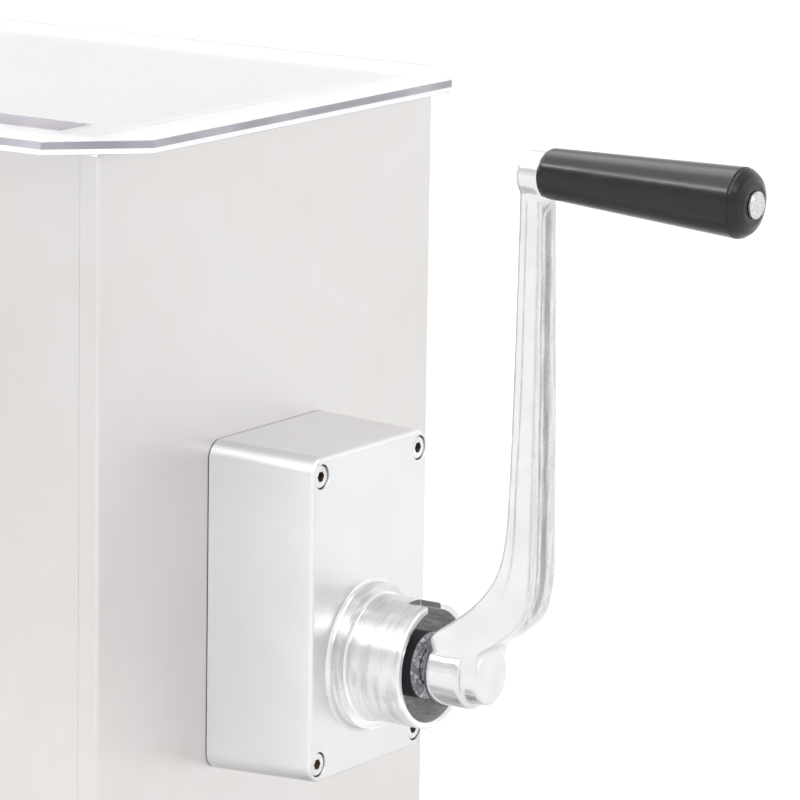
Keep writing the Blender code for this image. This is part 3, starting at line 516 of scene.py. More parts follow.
HAZE_LOW, HAZE_HIGH = 0.155, 0.165
# painted light and shade: copies of one satin sheet scaled by height, 1.045 to 1.01 on the ends, 1.01 to 0.93 on
# the long sides, and 1.38 all over inside
SHEET = sheet_finish("satin_stainless_sheet", 1.045, 1.01)
SIDE_LIGHT_SHADE_SHEET = sheet_finish("satin_stainless_side", 1.01, 0.93)
PAINTED_LIGHT_INNER_SHEET = sheet_finish("bright_stainless_inside", 1.38, 1.38)
ALUMINIUM = aluminium_finish()
ROUGH_CAST = rough_cast_finish()
CHROME = chrome_finish()
STEEL = steel_finish("bright_steel", (0.62, 0.62, 0.63), (0.78, 0.78, 0.79))
BRONZE = steel_finish("sintered_bronze", (0.48, 0.30, 0.13), (0.66, 0.45, 0.22), (0.3, 0.5))
PIN_STEEL = pin_finish()
# the hex socket's walls: darker brown tones than the head
SOCKET = steel_finish("oiled_socket", (0.20, 0.145, 0.10), (0.42, 0.33, 0.25), (0.35, 0.5))
GRIP_BLACK = grip_finish()
BUSH_BLACK = bush_finish(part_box("input_bush_outer")[1].x)
WHITE_SEAL = plastic_finish("white_seal_plastic", (0.70, 0.69, 0.66), (0.80, 0.79, 0.76), (0.35, 0.5))
RUBBER = plastic_finish("black_rubber", (0.014, 0.014, 0.014), (0.030, 0.029, 0.028), (0.6, 0.8),
                        900.0, 0.00006)
ACRYLIC = acrylic_finish()
LOOKS = {"tank_sheet": SHEET, "cast_aluminium": ALUMINIUM, "crank_chrome": CHROME, "bright_steel": STEEL,
         "bronze": BRONZE, "black_grip": GRIP_BLACK, "black_bush": BUSH_BLACK, "white_seal": WHITE_SEAL,
         "black_rubber": RUBBER, "clear_acrylic": ACRYLIC}

for subpart in frame["record"]["subparts"]:
    node = frame["nodes"][subpart["node"]]
    node.data.materials.clear()
    node.data.materials.append(LOOKS[subpart["material_slot"]])


# ---------------------------------------------------------------- tank
SHEET_THICKNESS = 0.0015
BEND = 0.0016
SEAM = 0.00022
TROUGH_THICKNESS = 0.0012
ARCH_TOP, ARCH_HALF, ARCH_CORNER = -0.345, 0.078, 0.030
DRIVE_SHAFT_HOLE, IDLE_SHAFT_HOLE = 0.0135, 0.0115
PAST = 0.01  # how far a cutter reaches past the sheet that it cuts
TANK_MIDDLE = (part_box("drive_end_panel")[1].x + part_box("idle_end_panel")[0].x) / 2


def folded(name, low, high, open_sides):
    """A folded sheet: a box without its open sides, its edges bent, thickened inwards."""
    bm = box_bmesh(low, high)
    opened = [f for f in bm.faces if any(f.normal.dot(Vector(side)) > 0.9 for side in open_sides)]
    bmesh.ops.delete(bm, geom=opened, context="FACES")
    bevelled(bm, [e for e in bm.edges if not e.is_boundary], BEND, 8)
    obj = from_bmesh(name, bm)
    shell = obj.modifiers.new("sheet", "SOLIDIFY")
    shell.thickness = SHEET_THICKNESS
    shell.offset = -1
    shell.use_even_offset = True
    return applied(name, obj)


def drill(centre, start, end, radius, steps=32):
    """A rod along X: a cutter, or a boss."""
    return turned("drill", [(end, 0), (end, radius), (start, radius), (start, 0)], centre, steps=steps)


def level_with(place, x):
    """The point at x on the line along X through place."""
    return Vector((x, place.y, place.z))


def lined(panel, outside):
    """The sheet with a painted-light brighter copy on its inside, and the long sides' painted light and shade
    where it faces outwards along Y.
    """
    for look in (outside, PAINTED_LIGHT_INNER_SHEET, SIDE_LIGHT_SHADE_SHEET):
        panel.data.materials.append(look)
    for face in panel.data.polygons:
        inward = Vector((TANK_MIDDLE - face.center.x, -face.center.y, 0)).normalized()
        beside = face.normal.y * face.center.y > 0.9 * abs(face.center.y)
        face.material_index = 1 if face.normal.dot(inward) > 0.6 else 2 if beside else 0
    return shaded(panel)


def end_panel(node, inward, shaft_hole, screw_places):
    """An end of the tank: folded sheet with an arch between its legs, a shaft hole and screw holes."""
    low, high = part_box(node)
    face = high.x if inward < 0 else low.x
    panel = folded(node + "_sheet", low, high, [(inward, 0, 0), (0, 0, -1)])
    turn_y, turn_z = ARCH_HALF - ARCH_CORNER, RIM_HEIGHT + ARCH_TOP - ARCH_CORNER
    arch = [(ARCH_HALF, low.z - 2 * PAST), *arc((turn_y, turn_z), ARCH_CORNER, 0, 90, 14),
            *arc((-turn_y, turn_z), ARCH_CORNER, 90, 180, 14), (-ARCH_HALF, low.z - 2 * PAST)]
    cuts = [plate("arch", [arch], 4 * PAST, Vector((face, 0, 0)), "YZ"),
            drill(Vector((face, 0, RIM_HEIGHT + PADDLE_Z)), -PAST, PAST, shaft_hole)]
    cuts += [drill(level_with(place, face), -PAST, PAST, M5_HOLE) for place in screw_places]
    panel = combined(panel, [("DIFFERENCE", cut) for cut in cuts])
    settle(lined(panel, SHEET), "tank", SHEET, node)


def centre_of(node):
    low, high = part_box(node)
    return (low + high) / 2


CORNERS = ("front_top", "back_top", "front_bottom", "back_bottom")
SCREW_PLACES = [centre_of("gearbox_screw_" + corner) for corner in CORNERS]
IDLE_PLACES = [centre_of("idle_screw_" + side) for side in ("front", "back")]
end_panel("drive_end_panel", -1, DRIVE_SHAFT_HOLE, SCREW_PLACES)
end_panel("idle_end_panel", 1, IDLE_SHAFT_HOLE, IDLE_PLACES)
for side_name, side in (("front_panel", -1), ("back_panel", 1)):
    low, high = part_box(side_name)
    reach = Vector((SEAM, 0, 0))
    panel = folded(side_name + "_sheet", low - reach, high + reach, [(0, -side, 0), (1, 0, 0), (-1, 0, 0)])
    settle(lined(panel, SIDE_LIGHT_SHADE_SHEET), "tank", SIDE_LIGHT_SHADE_SHEET, side_name)


def trough():
    """The round bottom of the tank, a half pipe with straight tabs."""
    low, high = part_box("trough_floor")
    outer = (high.y - low.y) / 2
    inner = outer - TROUGH_THICKNESS
    axis_z = RIM_HEIGHT + PADDLE_Z
    tab = high.z - axis_z
    outside = [(outer, tab), *arc((0, 0), outer, 0, -180, 72), (-outer, tab)]
    inside = [(-inner, tab), *arc((0, 0), inner, -180, 0, 72), (inner, tab)]
    place = Vector(((low.x + high.x) / 2, 0, axis_z))
    made = plate("trough_sheet", [outside + inside], high.x - low.x, place, "YZ")
    settle(shaded(made), "tank", PAINTED_LIGHT_INNER_SHEET, "trough_floor")


trough()


def feet():
    """Moulded rubber feet with a soft ribbed skirt."""
    for end_name in ("drive", "idle"):
        for side_name in ("front", "back"):
            node = f"foot_{side_name}_{end_name}"
            low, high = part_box(node)
            place = Vector(((low.x + high.x) / 2, (low.y + high.y) / 2, 0))
            tall = high.z
            profile = eased([(tall, 0, 0), (tall, 0.0030, 0.0006), (0.0149, 0.0054, 0.0005),
                             (0.0149, 0.0042, 0), (0.0120, 0.0042, 0), (0.0120, 0.0110, 0.0012),
                             (0.0080, 0.0117, 0.0004), (0.0074, 0.0113, 0.0003), (0.0068, 0.0119, 0.0004),
                             (0.0, 0.0130, 0.0012), (0.0, 0, 0)])
            made = turned(node + "_moulded", profile, place, ALONG_Z, 64)
            settle(shaded(made), "tank", RUBBER, node)


feet()


# ---------------------------------------------------------------- lid
LID_CORNER_CUT = 0.0317
SLOT_NEAR, SLOT_FAR = at(-0.0256, -0.1115, 0), at(-0.3144, -0.0900, 0)


def lid():
    """The clear plate: polished faces, and cut edges with their own painted-reflection looks, darker on the corner
    cuts and lighter in the slot.
    """
    low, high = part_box("lid")
    left, right, front, back = (low.x + LID_CORNER_CUT, high.x - LID_CORNER_CUT,
                                low.y + LID_CORNER_CUT, high.y - LID_CORNER_CUT)
    outline = [(left, low.y), (right, low.y), (high.x, front), (high.x, back),
               (right, high.y), (left, high.y), (low.x, back), (low.x, front)]
    near, far = SLOT_NEAR, SLOT_FAR
    slot = [(near.x, near.y), (near.x, far.y), (far.x, far.y), (far.x, near.y)]
    middle = Vector((0, 0, (low.z + high.z) / 2))
    made = plate("lid_sheet", [outline, slot], high.z - low.z, middle, "XY", 0.00025)
    long_edge = painted_reflection_edge_finish("acrylic_long_edge", low.z, high.z,
                                    (0.290, 0.272, 0.312), (0.385, 0.365, 0.415))
    corner_edge = painted_reflection_edge_finish("acrylic_corner_edge", low.z, high.z,
                                      (0.245, 0.229, 0.265), (0.305, 0.286, 0.332))
    slot_wall = painted_reflection_edge_finish("acrylic_slot_wall", low.z - 0.01, low.z - 0.005,
                                    (0.520, 0.497, 0.552), (0.622, 0.596, 0.650))
    for look in (ACRYLIC, long_edge, corner_edge, slot_wall):
        made.data.materials.append(look)
    for face in made.data.polygons:
        if abs(face.normal.z) > 0.3:
            continue
        in_slot = (near.x + 0.001 > face.center.x > far.x - 0.001
                   and near.y - 0.001 < face.center.y < far.y + 0.001)
        skew = min(abs(face.normal.x), abs(face.normal.y)) > 0.3
        face.material_index = 3 if in_slot else 2 if skew else 1
    settle(shaded(made, 20), "lid", ACRYLIC, "lid")


lid()


# ---------------------------------------------------------------- gearbox
GEARBOX_Z = (SCREW_PLACES[0].z + SCREW_PLACES[2].z) / 2
HOUSING_LOW, HOUSING_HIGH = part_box("gearbox_housing")
HOUSING_BACK = HOUSING_LOW.x - DRIVE_X
RING_END = HOUSING_HIGH.x - DRIVE_X
BLOCK_FRONT = 0.0512
BASE_HALF = (0.0437, 0.0700)
FRONT_HALF = (0.0419, 0.0684)
RING_BORE = 0.0235
RING_FLOOR = 0.0600
SKIRT_BACK = 0.0003
SEAT_INSET = 0.0009
CASTING_WALL = 0.005
COUNTERBORE_RADIUS, COUNTERBORE_FLOOR = 0.0052, 0.0442
RING_RADIUS, RING_FOOT = 0.0263, 0.0577
COLLAR_RADIUS, COLLAR_FRONT = 0.0305, 0.0569
FLARE, FLARE_FOOT = 0.0020, 0.0327
SPIGOT_RADIUS, SPIGOT_BACK = 0.0160, 0.0400
BUSH_SEAT, BORE_BACK = 0.0113, 0.0390
NOTCH_HALF, NOTCH_LOW, NOTCH_HIGH = 0.00475, 0.0175, 0.031


def inset(half, amount):
    """Half sizes made smaller all round."""
    return half[0] - amount, half[1] - amount


def drafted(name, base, front, start, end, edge, rim=0.0):
    """A block that tapers along +X, with round long edges and, where rim is given, an eased front rim."""
    half = Vector(((end - start) / 2, *base))
    bm = box_bmesh(-half, half)
    for vert in bm.verts:
        if vert.co.x > 0:
            vert.co.y *= front[0] / base[0]
            vert.co.z *= front[1] / base[1]
    bevelled(bm, [e for e in bm.edges if e.verts[0].co.x * e.verts[1].co.x < 0], edge, 14)
    if rim:
        face = max(bm.faces, key=lambda f: f.calc_center_median().x)
        bevelled(bm, list(face.edges), rim, 6)
    place = at((start + end) / 2, 0, 0)
    place.z = GEARBOX_Z
    bmesh.ops.translate(bm, vec=place, verts=bm.verts)
    return from_bmesh(name, bm)


def gearbox_block(axis, paddle_axis):
    """The drafted block: hollow with bosses, open at the back, with counterbored screw holes."""
    body = drafted("gearbox_casting", BASE_HALF, FRONT_HALF, SKIRT_BACK, BLOCK_FRONT, 0.008, 0.0016)
    seat_half = inset(BASE_HALF, SEAT_INSET)
    seat = drafted("seat", seat_half, seat_half, HOUSING_BACK - 0.003, HOUSING_BACK, 0.0073)
    cavity = drafted("cavity", inset(BASE_HALF, CASTING_WALL), inset(FRONT_HALF, CASTING_WALL),
                     HOUSING_BACK - 0.002, BLOCK_FRONT - CASTING_WALL, 0.005)
    recess = drafted("recess", (0.0410, 0.0673), (0.0410, 0.0673), HOUSING_BACK - 0.002,
                     HOUSING_BACK + 0.0063, 0.0063)
    bosses = [drill(level_with(place, DRIVE_X), HOUSING_BACK + 0.0066, BLOCK_FRONT, 0.0070)
              for place in SCREW_PLACES]
    bosses.append(drill(paddle_axis, SPIGOT_BACK, BLOCK_FRONT, 0.0130))
    cavity = combined(cavity, [("DIFFERENCE", boss) for boss in bosses])
    hole = eased([(BLOCK_FRONT + 0.0020, 0, 0), (BLOCK_FRONT + 0.0020, 0.0072, 0),
                  (BLOCK_FRONT - 0.0001, COUNTERBORE_RADIUS, 0.0004),
                  (COUNTERBORE_FLOOR, COUNTERBORE_RADIUS, 0), (COUNTERBORE_FLOOR, M5_HOLE, 0),
                  (-0.0010, M5_HOLE, 0), (-0.0010, 0, 0)])
    holes = [turned("hole", hole, level_with(place, DRIVE_X), steps=48) for place in SCREW_PLACES]
    cuts = [cavity, recess, seat, drill(paddle_axis, BORE_BACK, 0.0485, 0.0103),
            drill(axis, 0.0440, 0.0530, 0.0130), *holes]
    return combined(body, [("DIFFERENCE", cut) for cut in cuts], crossed=True)


def ring_boss(axis):
    """The ring with its collar and flare, hollow to its floor, notched at the top."""
    flare = arc((BLOCK_FRONT + FLARE, COLLAR_RADIUS + FLARE), FLARE, 180, 270, 6)
    outside = eased([(RING_END, 0, 0), (RING_END, RING_RADIUS, 0.0009), (RING_FOOT, RING_RADIUS, 0.0006),
                     (COLLAR_FRONT, 0.0272, 0.0003), (COLLAR_FRONT, COLLAR_RADIUS, 0.0010)])
    outside += [*reversed(flare), (BLOCK_FRONT - 0.0004, FLARE_FOOT), (BLOCK_FRONT - 0.0020, FLARE_FOOT),
                (BLOCK_FRONT - 0.0020, SPIGOT_RADIUS), (SPIGOT_BACK, SPIGOT_RADIUS), (SPIGOT_BACK, 0)]
    mouth = eased([(RING_END + 0.002, 0, 0), (RING_END + 0.002, RING_BORE + 0.0025, 0),
                   (RING_END - 0.0003, RING_BORE, 0.0009), (RING_FLOOR, RING_BORE, 0.0010),
                   (RING_FLOOR, BUSH_SEAT, 0), (BORE_BACK, BUSH_SEAT, 0), (BORE_BACK, 0, 0)])
    bm = box_bmesh(at(RING_END - 0.010, -NOTCH_HALF, CRANK_Z + NOTCH_LOW),
                   at(RING_END + 0.004, NOTCH_HALF, CRANK_Z + NOTCH_HIGH))
    bevelled(bm, list(bm.edges), 0.0009, 3)
    notch = from_bmesh("notch", bm)
    bore = turned("bore", mouth, axis, steps=128)
    return combined(turned("ring", outside, axis, steps=128), [("DIFFERENCE", bore), ("DIFFERENCE", notch)])


def housing():
    """The cast housing, rough inside the ring and the block and machined outside."""
    axis = at(0, 0, CRANK_Z)
    body = gearbox_block(axis, at(0, 0, PADDLE_Z))
    made = combined(body, [("UNION", ring_boss(axis))], crossed=True)
    made.data.materials.append(ALUMINIUM)
    made.data.materials.append(ROUGH_CAST)
    for face in made.data.polygons:
        spot = face.center - axis
        radius = math.hypot(spot.y, spot.z)
        deep = RING_FLOOR - 0.001 < spot.x < RING_END - 0.0012 and radius < RING_BORE + 0.0022
        up = face.center.z - GEARBOX_Z
        inside = spot.x < BLOCK_FRONT - 0.004 and abs(spot.y) < 0.0402 and abs(up) < 0.0665
        face.material_index = int(deep or inside)
    settle(shaded(made), "tank", ALUMINIUM, "gearbox_housing")


housing()


def rounded(half_width, half_height, radius):
    """A rectangle outline with round corners."""
    corners = [(-half_width, -half_height), (half_width, -half_height), (half_width, half_height),
               (-half_width, half_height)]
    return eased([(u, v, radius) for u, v in corners], 8, closed=True)


def gasket():
    """The gasket, set just inside the casting's skirt."""
    low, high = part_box("gearbox_gasket")
    steps = 24
    holes = [arc((place.y, place.z - GEARBOX_Z), M5_HOLE, 0, 360 * (1 - 1 / steps), steps - 1)
             for place in SCREW_PLACES]
    outside = rounded(*inset(BASE_HALF, SEAT_INSET + 0.0003), 0.0070)
    inside = rounded(0.0291, 0.0538, 0.006)
    middle = Vector(((low.x + high.x) / 2, 0, GEARBOX_Z))
    made = plate("gasket_cut", [outside, inside, *holes], high.x - low.x, middle, "YZ")
    settle(shaded(made), "tank", RUBBER, "gearbox_gasket")


gasket()

SHANK_RADIUS = 0.0025
SOCKET_DEPTH, SOCKET_TIP, SOCKET_REACH = 0.0028, 0.0034, 0.0036


def socket_screw(node, far, near, head_radius, head_depth, socket_radius, crown):
    """A screw along X with an eased head and a hexagon socket, from its head's face at far to its tail."""
    low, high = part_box(node)
    place = Vector((0, (low.y + high.y) / 2, (low.z + high.z) / 2))
    way = 1 if far > near else -1
    neck = far - way * head_depth
    profile = eased([(far, 0, 0), (far, head_radius - crown, 0.0003),
                     (far - way * crown, head_radius, 0.0003), (neck, head_radius, 0.0002),
                     (neck, SHANK_RADIUS, 0), (near, SHANK_RADIUS, 0.0003), (near, 0, 0)])
    mouth = far + way * 0.001
    key = [(mouth, 0), (mouth, socket_radius), (far - way * SOCKET_DEPTH, socket_radius),
           (far - way * SOCKET_TIP, 0)][::way]
    made = combined(turned(node + "_turned", profile, place, steps=48),
                    [("DIFFERENCE", turned("key", key, place, steps=6))])
    made.data.materials.append(STEEL)
    made.data.materials.append(SOCKET)
    for face in made.data.polygons:
        offset = face.center - place
        sunk = (far - face.center.x) * way
        in_socket = math.hypot(offset.y, offset.z) < socket_radius * 1.02
        face.material_index = int(0.0002 < sunk < SOCKET_REACH and in_socket)
    settle(shaded(made), "tank", STEEL, node)


for corner in CORNERS:
    node = "gearbox_screw_" + corner
    low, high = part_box(node)
    socket_screw(node, high.x + 0.0004, low.x, head_radius=0.0049, head_depth=0.0055,
                 socket_radius=0.0024, crown=0.0005)
for side_name in ("front", "back"):
    node = "idle_screw_" + side_name
    low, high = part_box(node)
    socket_screw(node, low.x, high.x, head_radius=0.0043, head_depth=0.0026,
                 socket_radius=0.0018, crown=0.0014)


def bush():
    """The black bush in the ring, with a rounded front edge and a blue grey front face."""
    low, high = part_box("input_bush_outer")
    end = high.x - DRIVE_X
    start = low.x - DRIVE_X
    flange = RING_FLOOR + GAP
    flange_radius, sleeve_radius = 0.0140, 0.0110
    profile = eased([(end, SHAFT_BORE, 0.0003), (end, flange_radius, 0.0008), (flange, flange_radius, 0),
                     (flange, sleeve_radius, 0), (start, sleeve_radius, 0), (start, SHAFT_BORE, 0)],
                    closed=True)
    made = turned("input_bush_moulded", profile, at(0, 0, CRANK_Z))
    settle(shaded(made), "tank", BUSH_BLACK, "input_bush_outer")


bush()


# ---------------------------------------------------------------- crank
# The arm's stations from hub to eye: its inner and outer points, each (x, height over the crank axis).
ARM_PAIRS = (((0.0884, 0.0060), (0.1119, 0.0000)), ((0.0883, 0.0150), (0.1121, 0.0105)),
             ((0.1005, 0.0243), (0.1215, 0.0176)), ((0.1100, 0.0325), (0.1313, 0.0277)),
             ((0.1182, 0.0434), (0.1350, 0.0420)), ((0.1225, 0.0575), (0.1353, 0.0600)),
             ((0.1240, 0.0800), (0.1353, 0.0850)), ((0.1247, 0.1270), (0.1350, 0.1270)),
             ((0.1249, 0.1900), (0.1343, 0.1900)), ((0.1249, 0.2098), (0.1341, 0.2098)))
EYE_HEIGHT = 0.2098
RIDGE_SHARE = 0.40
CHANNEL_DEPTH = 0.0038
HUB_RADIUS = 0.01485
NOSE_RADIUS = 0.0122
EYE_RADIUS = 0.0098
PIN_BORE = 0.0043
# how much the outer face's near and far lips are dulled: painted shade
NEAR_LIP_DULL_AND_SHADE, FAR_LIP_DULL_AND_SHADE = 0.75, 1.0


def spline(points, t):
    """A smooth curve through the points, t from 0 at the first to 1 at the last."""
    place = t * (len(points) - 1)
    i = min(int(place), len(points) - 2)
    f = place - i
    p = [Vector(points[max(0, min(len(points) - 1, i + k))]) for k in (-1, 0, 1, 2)]
    return 0.5 * ((2 * p[1]) + (p[2] - p[0]) * f + (2 * p[0] - 5 * p[1] + 4 * p[2] - p[3]) * f * f
                  + (3 * p[1] - p[0] - 3 * p[2] + p[3]) * f ** 3)


def step(value, low, high):
    """0 below low, 1 above high, smooth between."""
    share = min(1.0, max(0.0, (value - low) / (high - low)))
    return share * share * (3 - 2 * share)


def arm_half(height):
    """Half the arm's width, at a height over the crank axis."""
    taper = min(1.0, max(0.0, (height - 0.045) / 0.145))
    return NOSE_RADIUS - 0.0018 * step(height, 0.012, 0.040) - 0.0032 * taper


def arm_section(inner, outer):
    """One section of the arm: a parting ridge on each side, round edges and a channel in the outer face."""
    thickness = (outer - inner).length
    height = (inner.y + outer.y) / 2
    half = arm_half(height)
    depth = 0.00005 + CHANNEL_DEPTH * step(outer.y, 0.0175, 0.0300) * (1 - step(outer.y, 0.192, 0.200))
    lip = min(0.0040, half * 0.52)
    ridge = thickness * RIDGE_SHARE
    side = [(0, half - 0.0003, 0.0007), (ridge, half, 0.0002), (thickness, half - 0.0003, 0.0007),
            (thickness, lip, 0.0005), (thickness - depth, lip - depth * 0.22, min(0.0010, depth * 0.4))]
    corners = side + [(t, -y, r) for t, y, r in reversed(side)]
    return eased(corners, 3, closed=True)


def arm_loft():
    """The bare arm, one closed skin through its sections."""
    stations = 220
    bm = bmesh.new()
    rings = []
    for i in range(stations + 1):
        t = i / stations
        inner = spline([pair[0] for pair in ARM_PAIRS], t)
        outer = spline([pair[1] for pair in ARM_PAIRS], t)
        way = (outer - inner).normalized()
        ring = []
        for depth, y in arm_section(inner, outer):
            spot = inner + way * depth
            ring.append(bm.verts.new(at(spot.x, y, CRANK_Z + spot.y)))
        rings.append(ring)
    for first, second in zip(rings, rings[1:]):
        for k in range(len(first)):
            n = (k + 1) % len(first)
            bm.faces.new((first[k], first[n], second[n], second[k]))
    bm.faces.new(rings[0])
    bm.faces.new(rings[-1])
    bmesh.ops.recalc_face_normals(bm, faces=bm.faces)
    return from_bmesh("crank_casting", bm)


def crank_casting():
    """The arm, hub and eye grown together as one casting, then softened like one."""
    axis = at(0, 0, CRANK_Z)
    hub = turned("hub", eased([(0.1122, 0, 0), (0.1122, NOSE_RADIUS, 0.0013), (0.1051, NOSE_RADIUS, 0.0006),
                               (0.1046, HUB_RADIUS, 0.0009), (0.0880, HUB_RADIUS, 0.0009), (0.0880, 0, 0)]),
                 axis, steps=128)
    eye = turned("eye", eased([(0.1345, 0, 0), (0.1345, EYE_RADIUS, 0.0012), (0.1247, EYE_RADIUS, 0.0012),
                               (0.1247, 0, 0)]), at(0, 0, CRANK_Z + EYE_HEIGHT), steps=96)
    pin_hole = turned("pin_hole", [(0.010, 0), (0.010, PIN_BORE), (-0.020, PIN_BORE), (-0.020, 0)],
                      GRIP_PLACE, GRIP_AXIS, 48)
    grub = turned("grub", [(-0.004, 0), (-0.004, 0.0033), (-0.020, 0.0033), (-0.020, 0)],
                  at(0.0965, 0, CRANK_Z), ALONG_Z, 32)
    shaft_hole = drill(axis, 0.086, 0.1080, SHAFT_BORE, 64)
    steps = [("UNION", hub), ("UNION", eye), ("DIFFERENCE", shaft_hole), ("DIFFERENCE", pin_hole),
             ("DIFFERENCE", grub)]
    arm = combined(arm_loft(), steps, crossed=True)
    grown = arm.modifiers.new("grown", "REMESH")
    grown.mode = "VOXEL"
    grown.voxel_size = 0.00042
    soft = arm.modifiers.new("soft", "SMOOTH")
    soft.factor = 0.5
    soft.iterations = 9
    arm = applied("crank_casting", arm)
    arm.data.shade_smooth()
    return arm


def mark_casting(arm):
    """Point values for the chrome: how far a point is in the cast channel, with painted shade on the outer face's
    lips, and how near the parting line, with a painted dark reflection along the outer corner edge.
    """
    channel = arm.data.attributes.new("cast_channel", "FLOAT", "POINT")
    parting_and_dark_edge = arm.data.attributes.new("parting_line", "FLOAT", "POINT")
    count = 200
    inners, outers = [[spline([pair[side] for pair in ARM_PAIRS], i / count) for i in range(count + 1)]
                      for side in (0, 1)]
    ways = [(after - before).normalized() for before, after in zip(outers, outers[1:])]
    for index, vert in enumerate(arm.data.vertices):
        spot = Vector((vert.co.x - DRIVE_X, vert.co.z - RIM_HEIGHT - CRANK_Z))
        if spot.y < 0.016 or spot.y > 0.200:
            continue
        near = min(range(count), key=lambda i: (outers[i] - spot).length_squared)
        away = spot - outers[near]
        sunk = ways[near].x * away.y - ways[near].y * away.x
        if abs(vert.co.y) < arm_half(spot.y) - 0.0011:
            # painted shade: the outer face's lips are dulled, the far lip more than the near one
            face = NEAR_LIP_DULL_AND_SHADE if vert.co.y < 0 else FAR_LIP_DULL_AND_SHADE
            depth = step(sunk, 0.0003, 0.0012) * (1 - step(sunk, 0.0046, 0.0052))
            if sunk < 0.0052:
                channel.data[index].value = max(face * step(spot.y, 0.022, 0.034), depth)
        else:
            line = abs(sunk / (outers[near] - inners[near]).length - (1 - RIDGE_SHARE))
            # painted dark reflection: the outer corner edge is darkened
            corner = step(spot.y, 0.030, 0.050) * (1 - step(sunk, 0.0004, 0.0010))
            ridge = (1 - step(line, 0.02, 0.06)) * step(spot.y, 0.030, 0.060)
            parting_and_dark_edge.data[index].value = max(ridge, 0.75 * corner)


def crank_arm():
    """The finished casting with the point values that its finish reads."""
    arm = crank_casting()
    mark_casting(arm)
    settle(arm, "crank", CHROME, "crank_arm")


crank_arm()

GRIP_END = 0.0930
GRIP_RIM = -0.0010
WASHER_BORE = 0.0091
RIVET_END = 0.0950


def grip():
    """The moulded grip, with its groove before the domed end."""
    end, rim = GRIP_END, GRIP_RIM
    profile = eased([(end, PIN_BORE, 0.0004), (end, 0.0085, 0.0030), (end - 0.0014, 0.0120, 0.0040),
                     (end - 0.0044, 0.0140, 0.0012), (end - 0.0049, 0.0136, 0.0003),
                     (end - 0.0056, 0.01428, 0.0008), (rim + 0.0012, 0.01028, 0.0012), (rim, 0.0098, 0.0004),
                     (rim, WASHER_BORE, 0.0001), (0.0, WASHER_BORE, 0), (0.0, PIN_BORE, 0.0003)],
                    8, closed=True)
    made = turned("grip_moulded", profile, GRIP_PLACE, GRIP_AXIS, 128)
    settle(shaded(made), "grip", GRIP_BLACK, "grip")


def rivet():
    """The grip's pin, its head peened over at the grip's end."""
    shank, head = 0.0040, 0.0055
    profile = eased([(RIVET_END, 0, 0), (RIVET_END, 0.0046, 0.0006), (RIVET_END - 0.0008, head, 0.0004),
                     (GRIP_END + GAP, head, 0), (GRIP_END + GAP, shank, 0), (-0.0118, shank, 0.0004),
                     (-0.0118, 0, 0)])
    made = turned("grip_rivet", profile, GRIP_PLACE, GRIP_AXIS, 64)
    settle(shaded(made), "crank", PIN_STEEL, "grip_pin")


grip()
rivet()


# ---------------------------------------------------------------- idle end
def idle_bearing():
    """The far bearing, a flange with a tapered boss."""
    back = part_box("idle_bearing")[1].x
    face = back - DRIVE_X
    flange, nose = face - 0.0047, face - 0.0182
    profile = eased([(face, SHAFT_BORE, 0), (face, 0.0260, 0), (flange, 0.0260, 0.0008),
                     (flange, 0.0158, 0.0012), (nose, 0.0140, 0.0008), (nose, SHAFT_BORE, 0.0004)],
                    closed=True)
    made = turned("idle_bearing_turned", profile, at(0, 0, PADDLE_Z))
    cuts = [drill(level_with(place, back), -0.007, 0.002, M5_HOLE) for place in IDLE_PLACES]
    made = combined(made, [("DIFFERENCE", cut) for cut in cuts])
    settle(shaded(made), "tank", ALUMINIUM, "idle_bearing")


def idle_knob():
    """The lobed pull knob on the far pin."""
    low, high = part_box("idle_knob")
    lobes = 6
    steps = 20 * lobes
    outline = []
    for i in range(steps):
        angle = 2 * math.pi * i / steps
        radius = 0.0180 + 0.0018 * math.cos(lobes * angle)
        outline.append((radius * math.cos(angle), radius * math.sin(angle)))
    middle = Vector(((low.x + high.x) / 2, 0, RIM_HEIGHT + PADDLE_Z))
    knob = plate("idle_knob_moulded", [outline], high.x - low.x, middle, "YZ", 0.0016)
    pin_hole = drill(at(0, 0, PADDLE_Z), -0.3732, high.x - DRIVE_X + 0.002, SHAFT_BORE)
    knob = combined(knob, [("DIFFERENCE", pin_hole)])
    settle(shaded(knob, 40), "pull_pin", GRIP_BLACK, "idle_knob")


idle_bearing()
idle_knob()


# ---------------------------------------------------------------- floor, light and camera
FLOOR_RADIUS = 60.0
FLOOR_DROP = 0.0002
SURROUND, GAP_CUT, STRIP_POWER, GLOW_POWER = 1.08, 0.25, 10.0, 0.35
FOCAL_LENGTH, SENSOR_WIDTH, CLIP_END = 239.58, 36.0, 200.0
CAMERA_PLACE = at(1.24217, -1.78264, 0.331247)
CAMERA_RIGHT = Vector((0.83256236, 0.55371001, 0.01565712))
CAMERA_UP = Vector((-0.12484345, 0.1600273, 0.97918608))
CAMERA_BACK = Vector((0.53967957, -0.81718816, 0.20235978))


def floor():
    """A plain pale floor, a hair under the feet."""
    bm = bmesh.new()
    bmesh.ops.create_circle(bm, cap_ends=True, radius=FLOOR_RADIUS, segments=96)
    bmesh.ops.translate(bm, vec=(0, 0, -FLOOR_DROP), verts=bm.verts)
    made = from_bmesh("studio_floor", bm)
    look = Finish("pale_floor")
    look.patched((0.555, 0.555, 0.555), (0.565, 0.565, 0.565), 0.7)
    look.shader.inputs["Roughness"].default_value = 0.9
    made.data.materials.append(look.material)


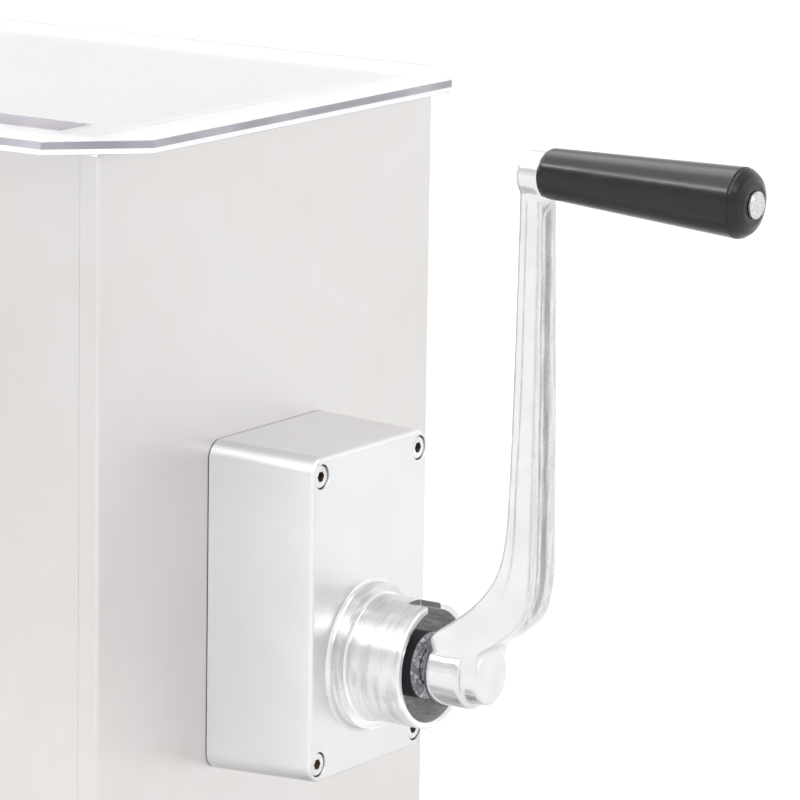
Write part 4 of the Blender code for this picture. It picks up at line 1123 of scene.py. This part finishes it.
def studio_light():
    """A soft box high at the front left, a bright strip under it, a darker gap below, and a white surround.

    The bands lie over the sky by z, a direction's height from 0 at the horizon to 1 overhead, and by front,
    how far it points to the front left.
    """
    world = bpy.data.worlds.new("studio")
    bpy.context.scene.world = world
    world.use_nodes = True
    graph = Graph(world.node_tree)
    where = graph.node("TexCoord", {}).outputs["Generated"]
    x, y, z = graph.split(where)
    front = graph.plus(graph.times(x, -0.68), graph.times(y, -0.73))
    box = graph.times(graph.ramp(front, -0.25, 0.10), graph.ramp(z, 0.57, 0.65))
    box = graph.times(box, graph.ramp(front, 0.22, 0.42, 2.6, 1.1))
    strip = graph.times(graph.ramp(z, 0.53, 0.56), graph.ramp(z, 0.60, 0.66, 1.0, 0.0))
    strip = graph.times(strip, graph.ramp(front, 0.30, 0.55))
    gap = graph.times(graph.ramp(z, 0.12, 0.36), graph.ramp(z, 0.50, 0.58, 1.0, 0.0))
    gap = graph.times(gap, graph.ramp(front, -0.1, 0.45))
    glow = graph.times(graph.ramp(z, 0.02, 0.12), graph.ramp(z, 0.30, 0.50, 1.0, 0.0))
    glow = graph.times(glow, graph.ramp(front, -0.45, -0.75))
    level = graph.math("SUBTRACT", SURROUND, graph.times(gap, GAP_CUT))
    level = graph.plus(level, box)
    level = graph.plus(level, graph.times(strip, STRIP_POWER))
    level = graph.plus(level, graph.times(glow, GLOW_POWER))
    background = world.node_tree.nodes["Background"]
    background.inputs["Color"].default_value = (1.0, 0.998, 0.995, 1.0)
    world.node_tree.links.new(level, background.inputs["Strength"])


def camera():
    """The photograph's viewpoint, far off with a long lens."""
    data = bpy.data.cameras.new("camera")
    data.sensor_width = SENSOR_WIDTH
    data.lens = FOCAL_LENGTH
    data.clip_end = CLIP_END
    made = bpy.data.objects.new("camera", data)
    bpy.context.scene.collection.objects.link(made)
    turn = Matrix((CAMERA_RIGHT, CAMERA_UP, CAMERA_BACK)).transposed().to_4x4()
    made.matrix_world = Matrix.Translation(CAMERA_PLACE) @ turn
    bpy.context.scene.camera = made


floor()
studio_light()
camera()
bpy.context.scene.view_settings.view_transform = "Standard"
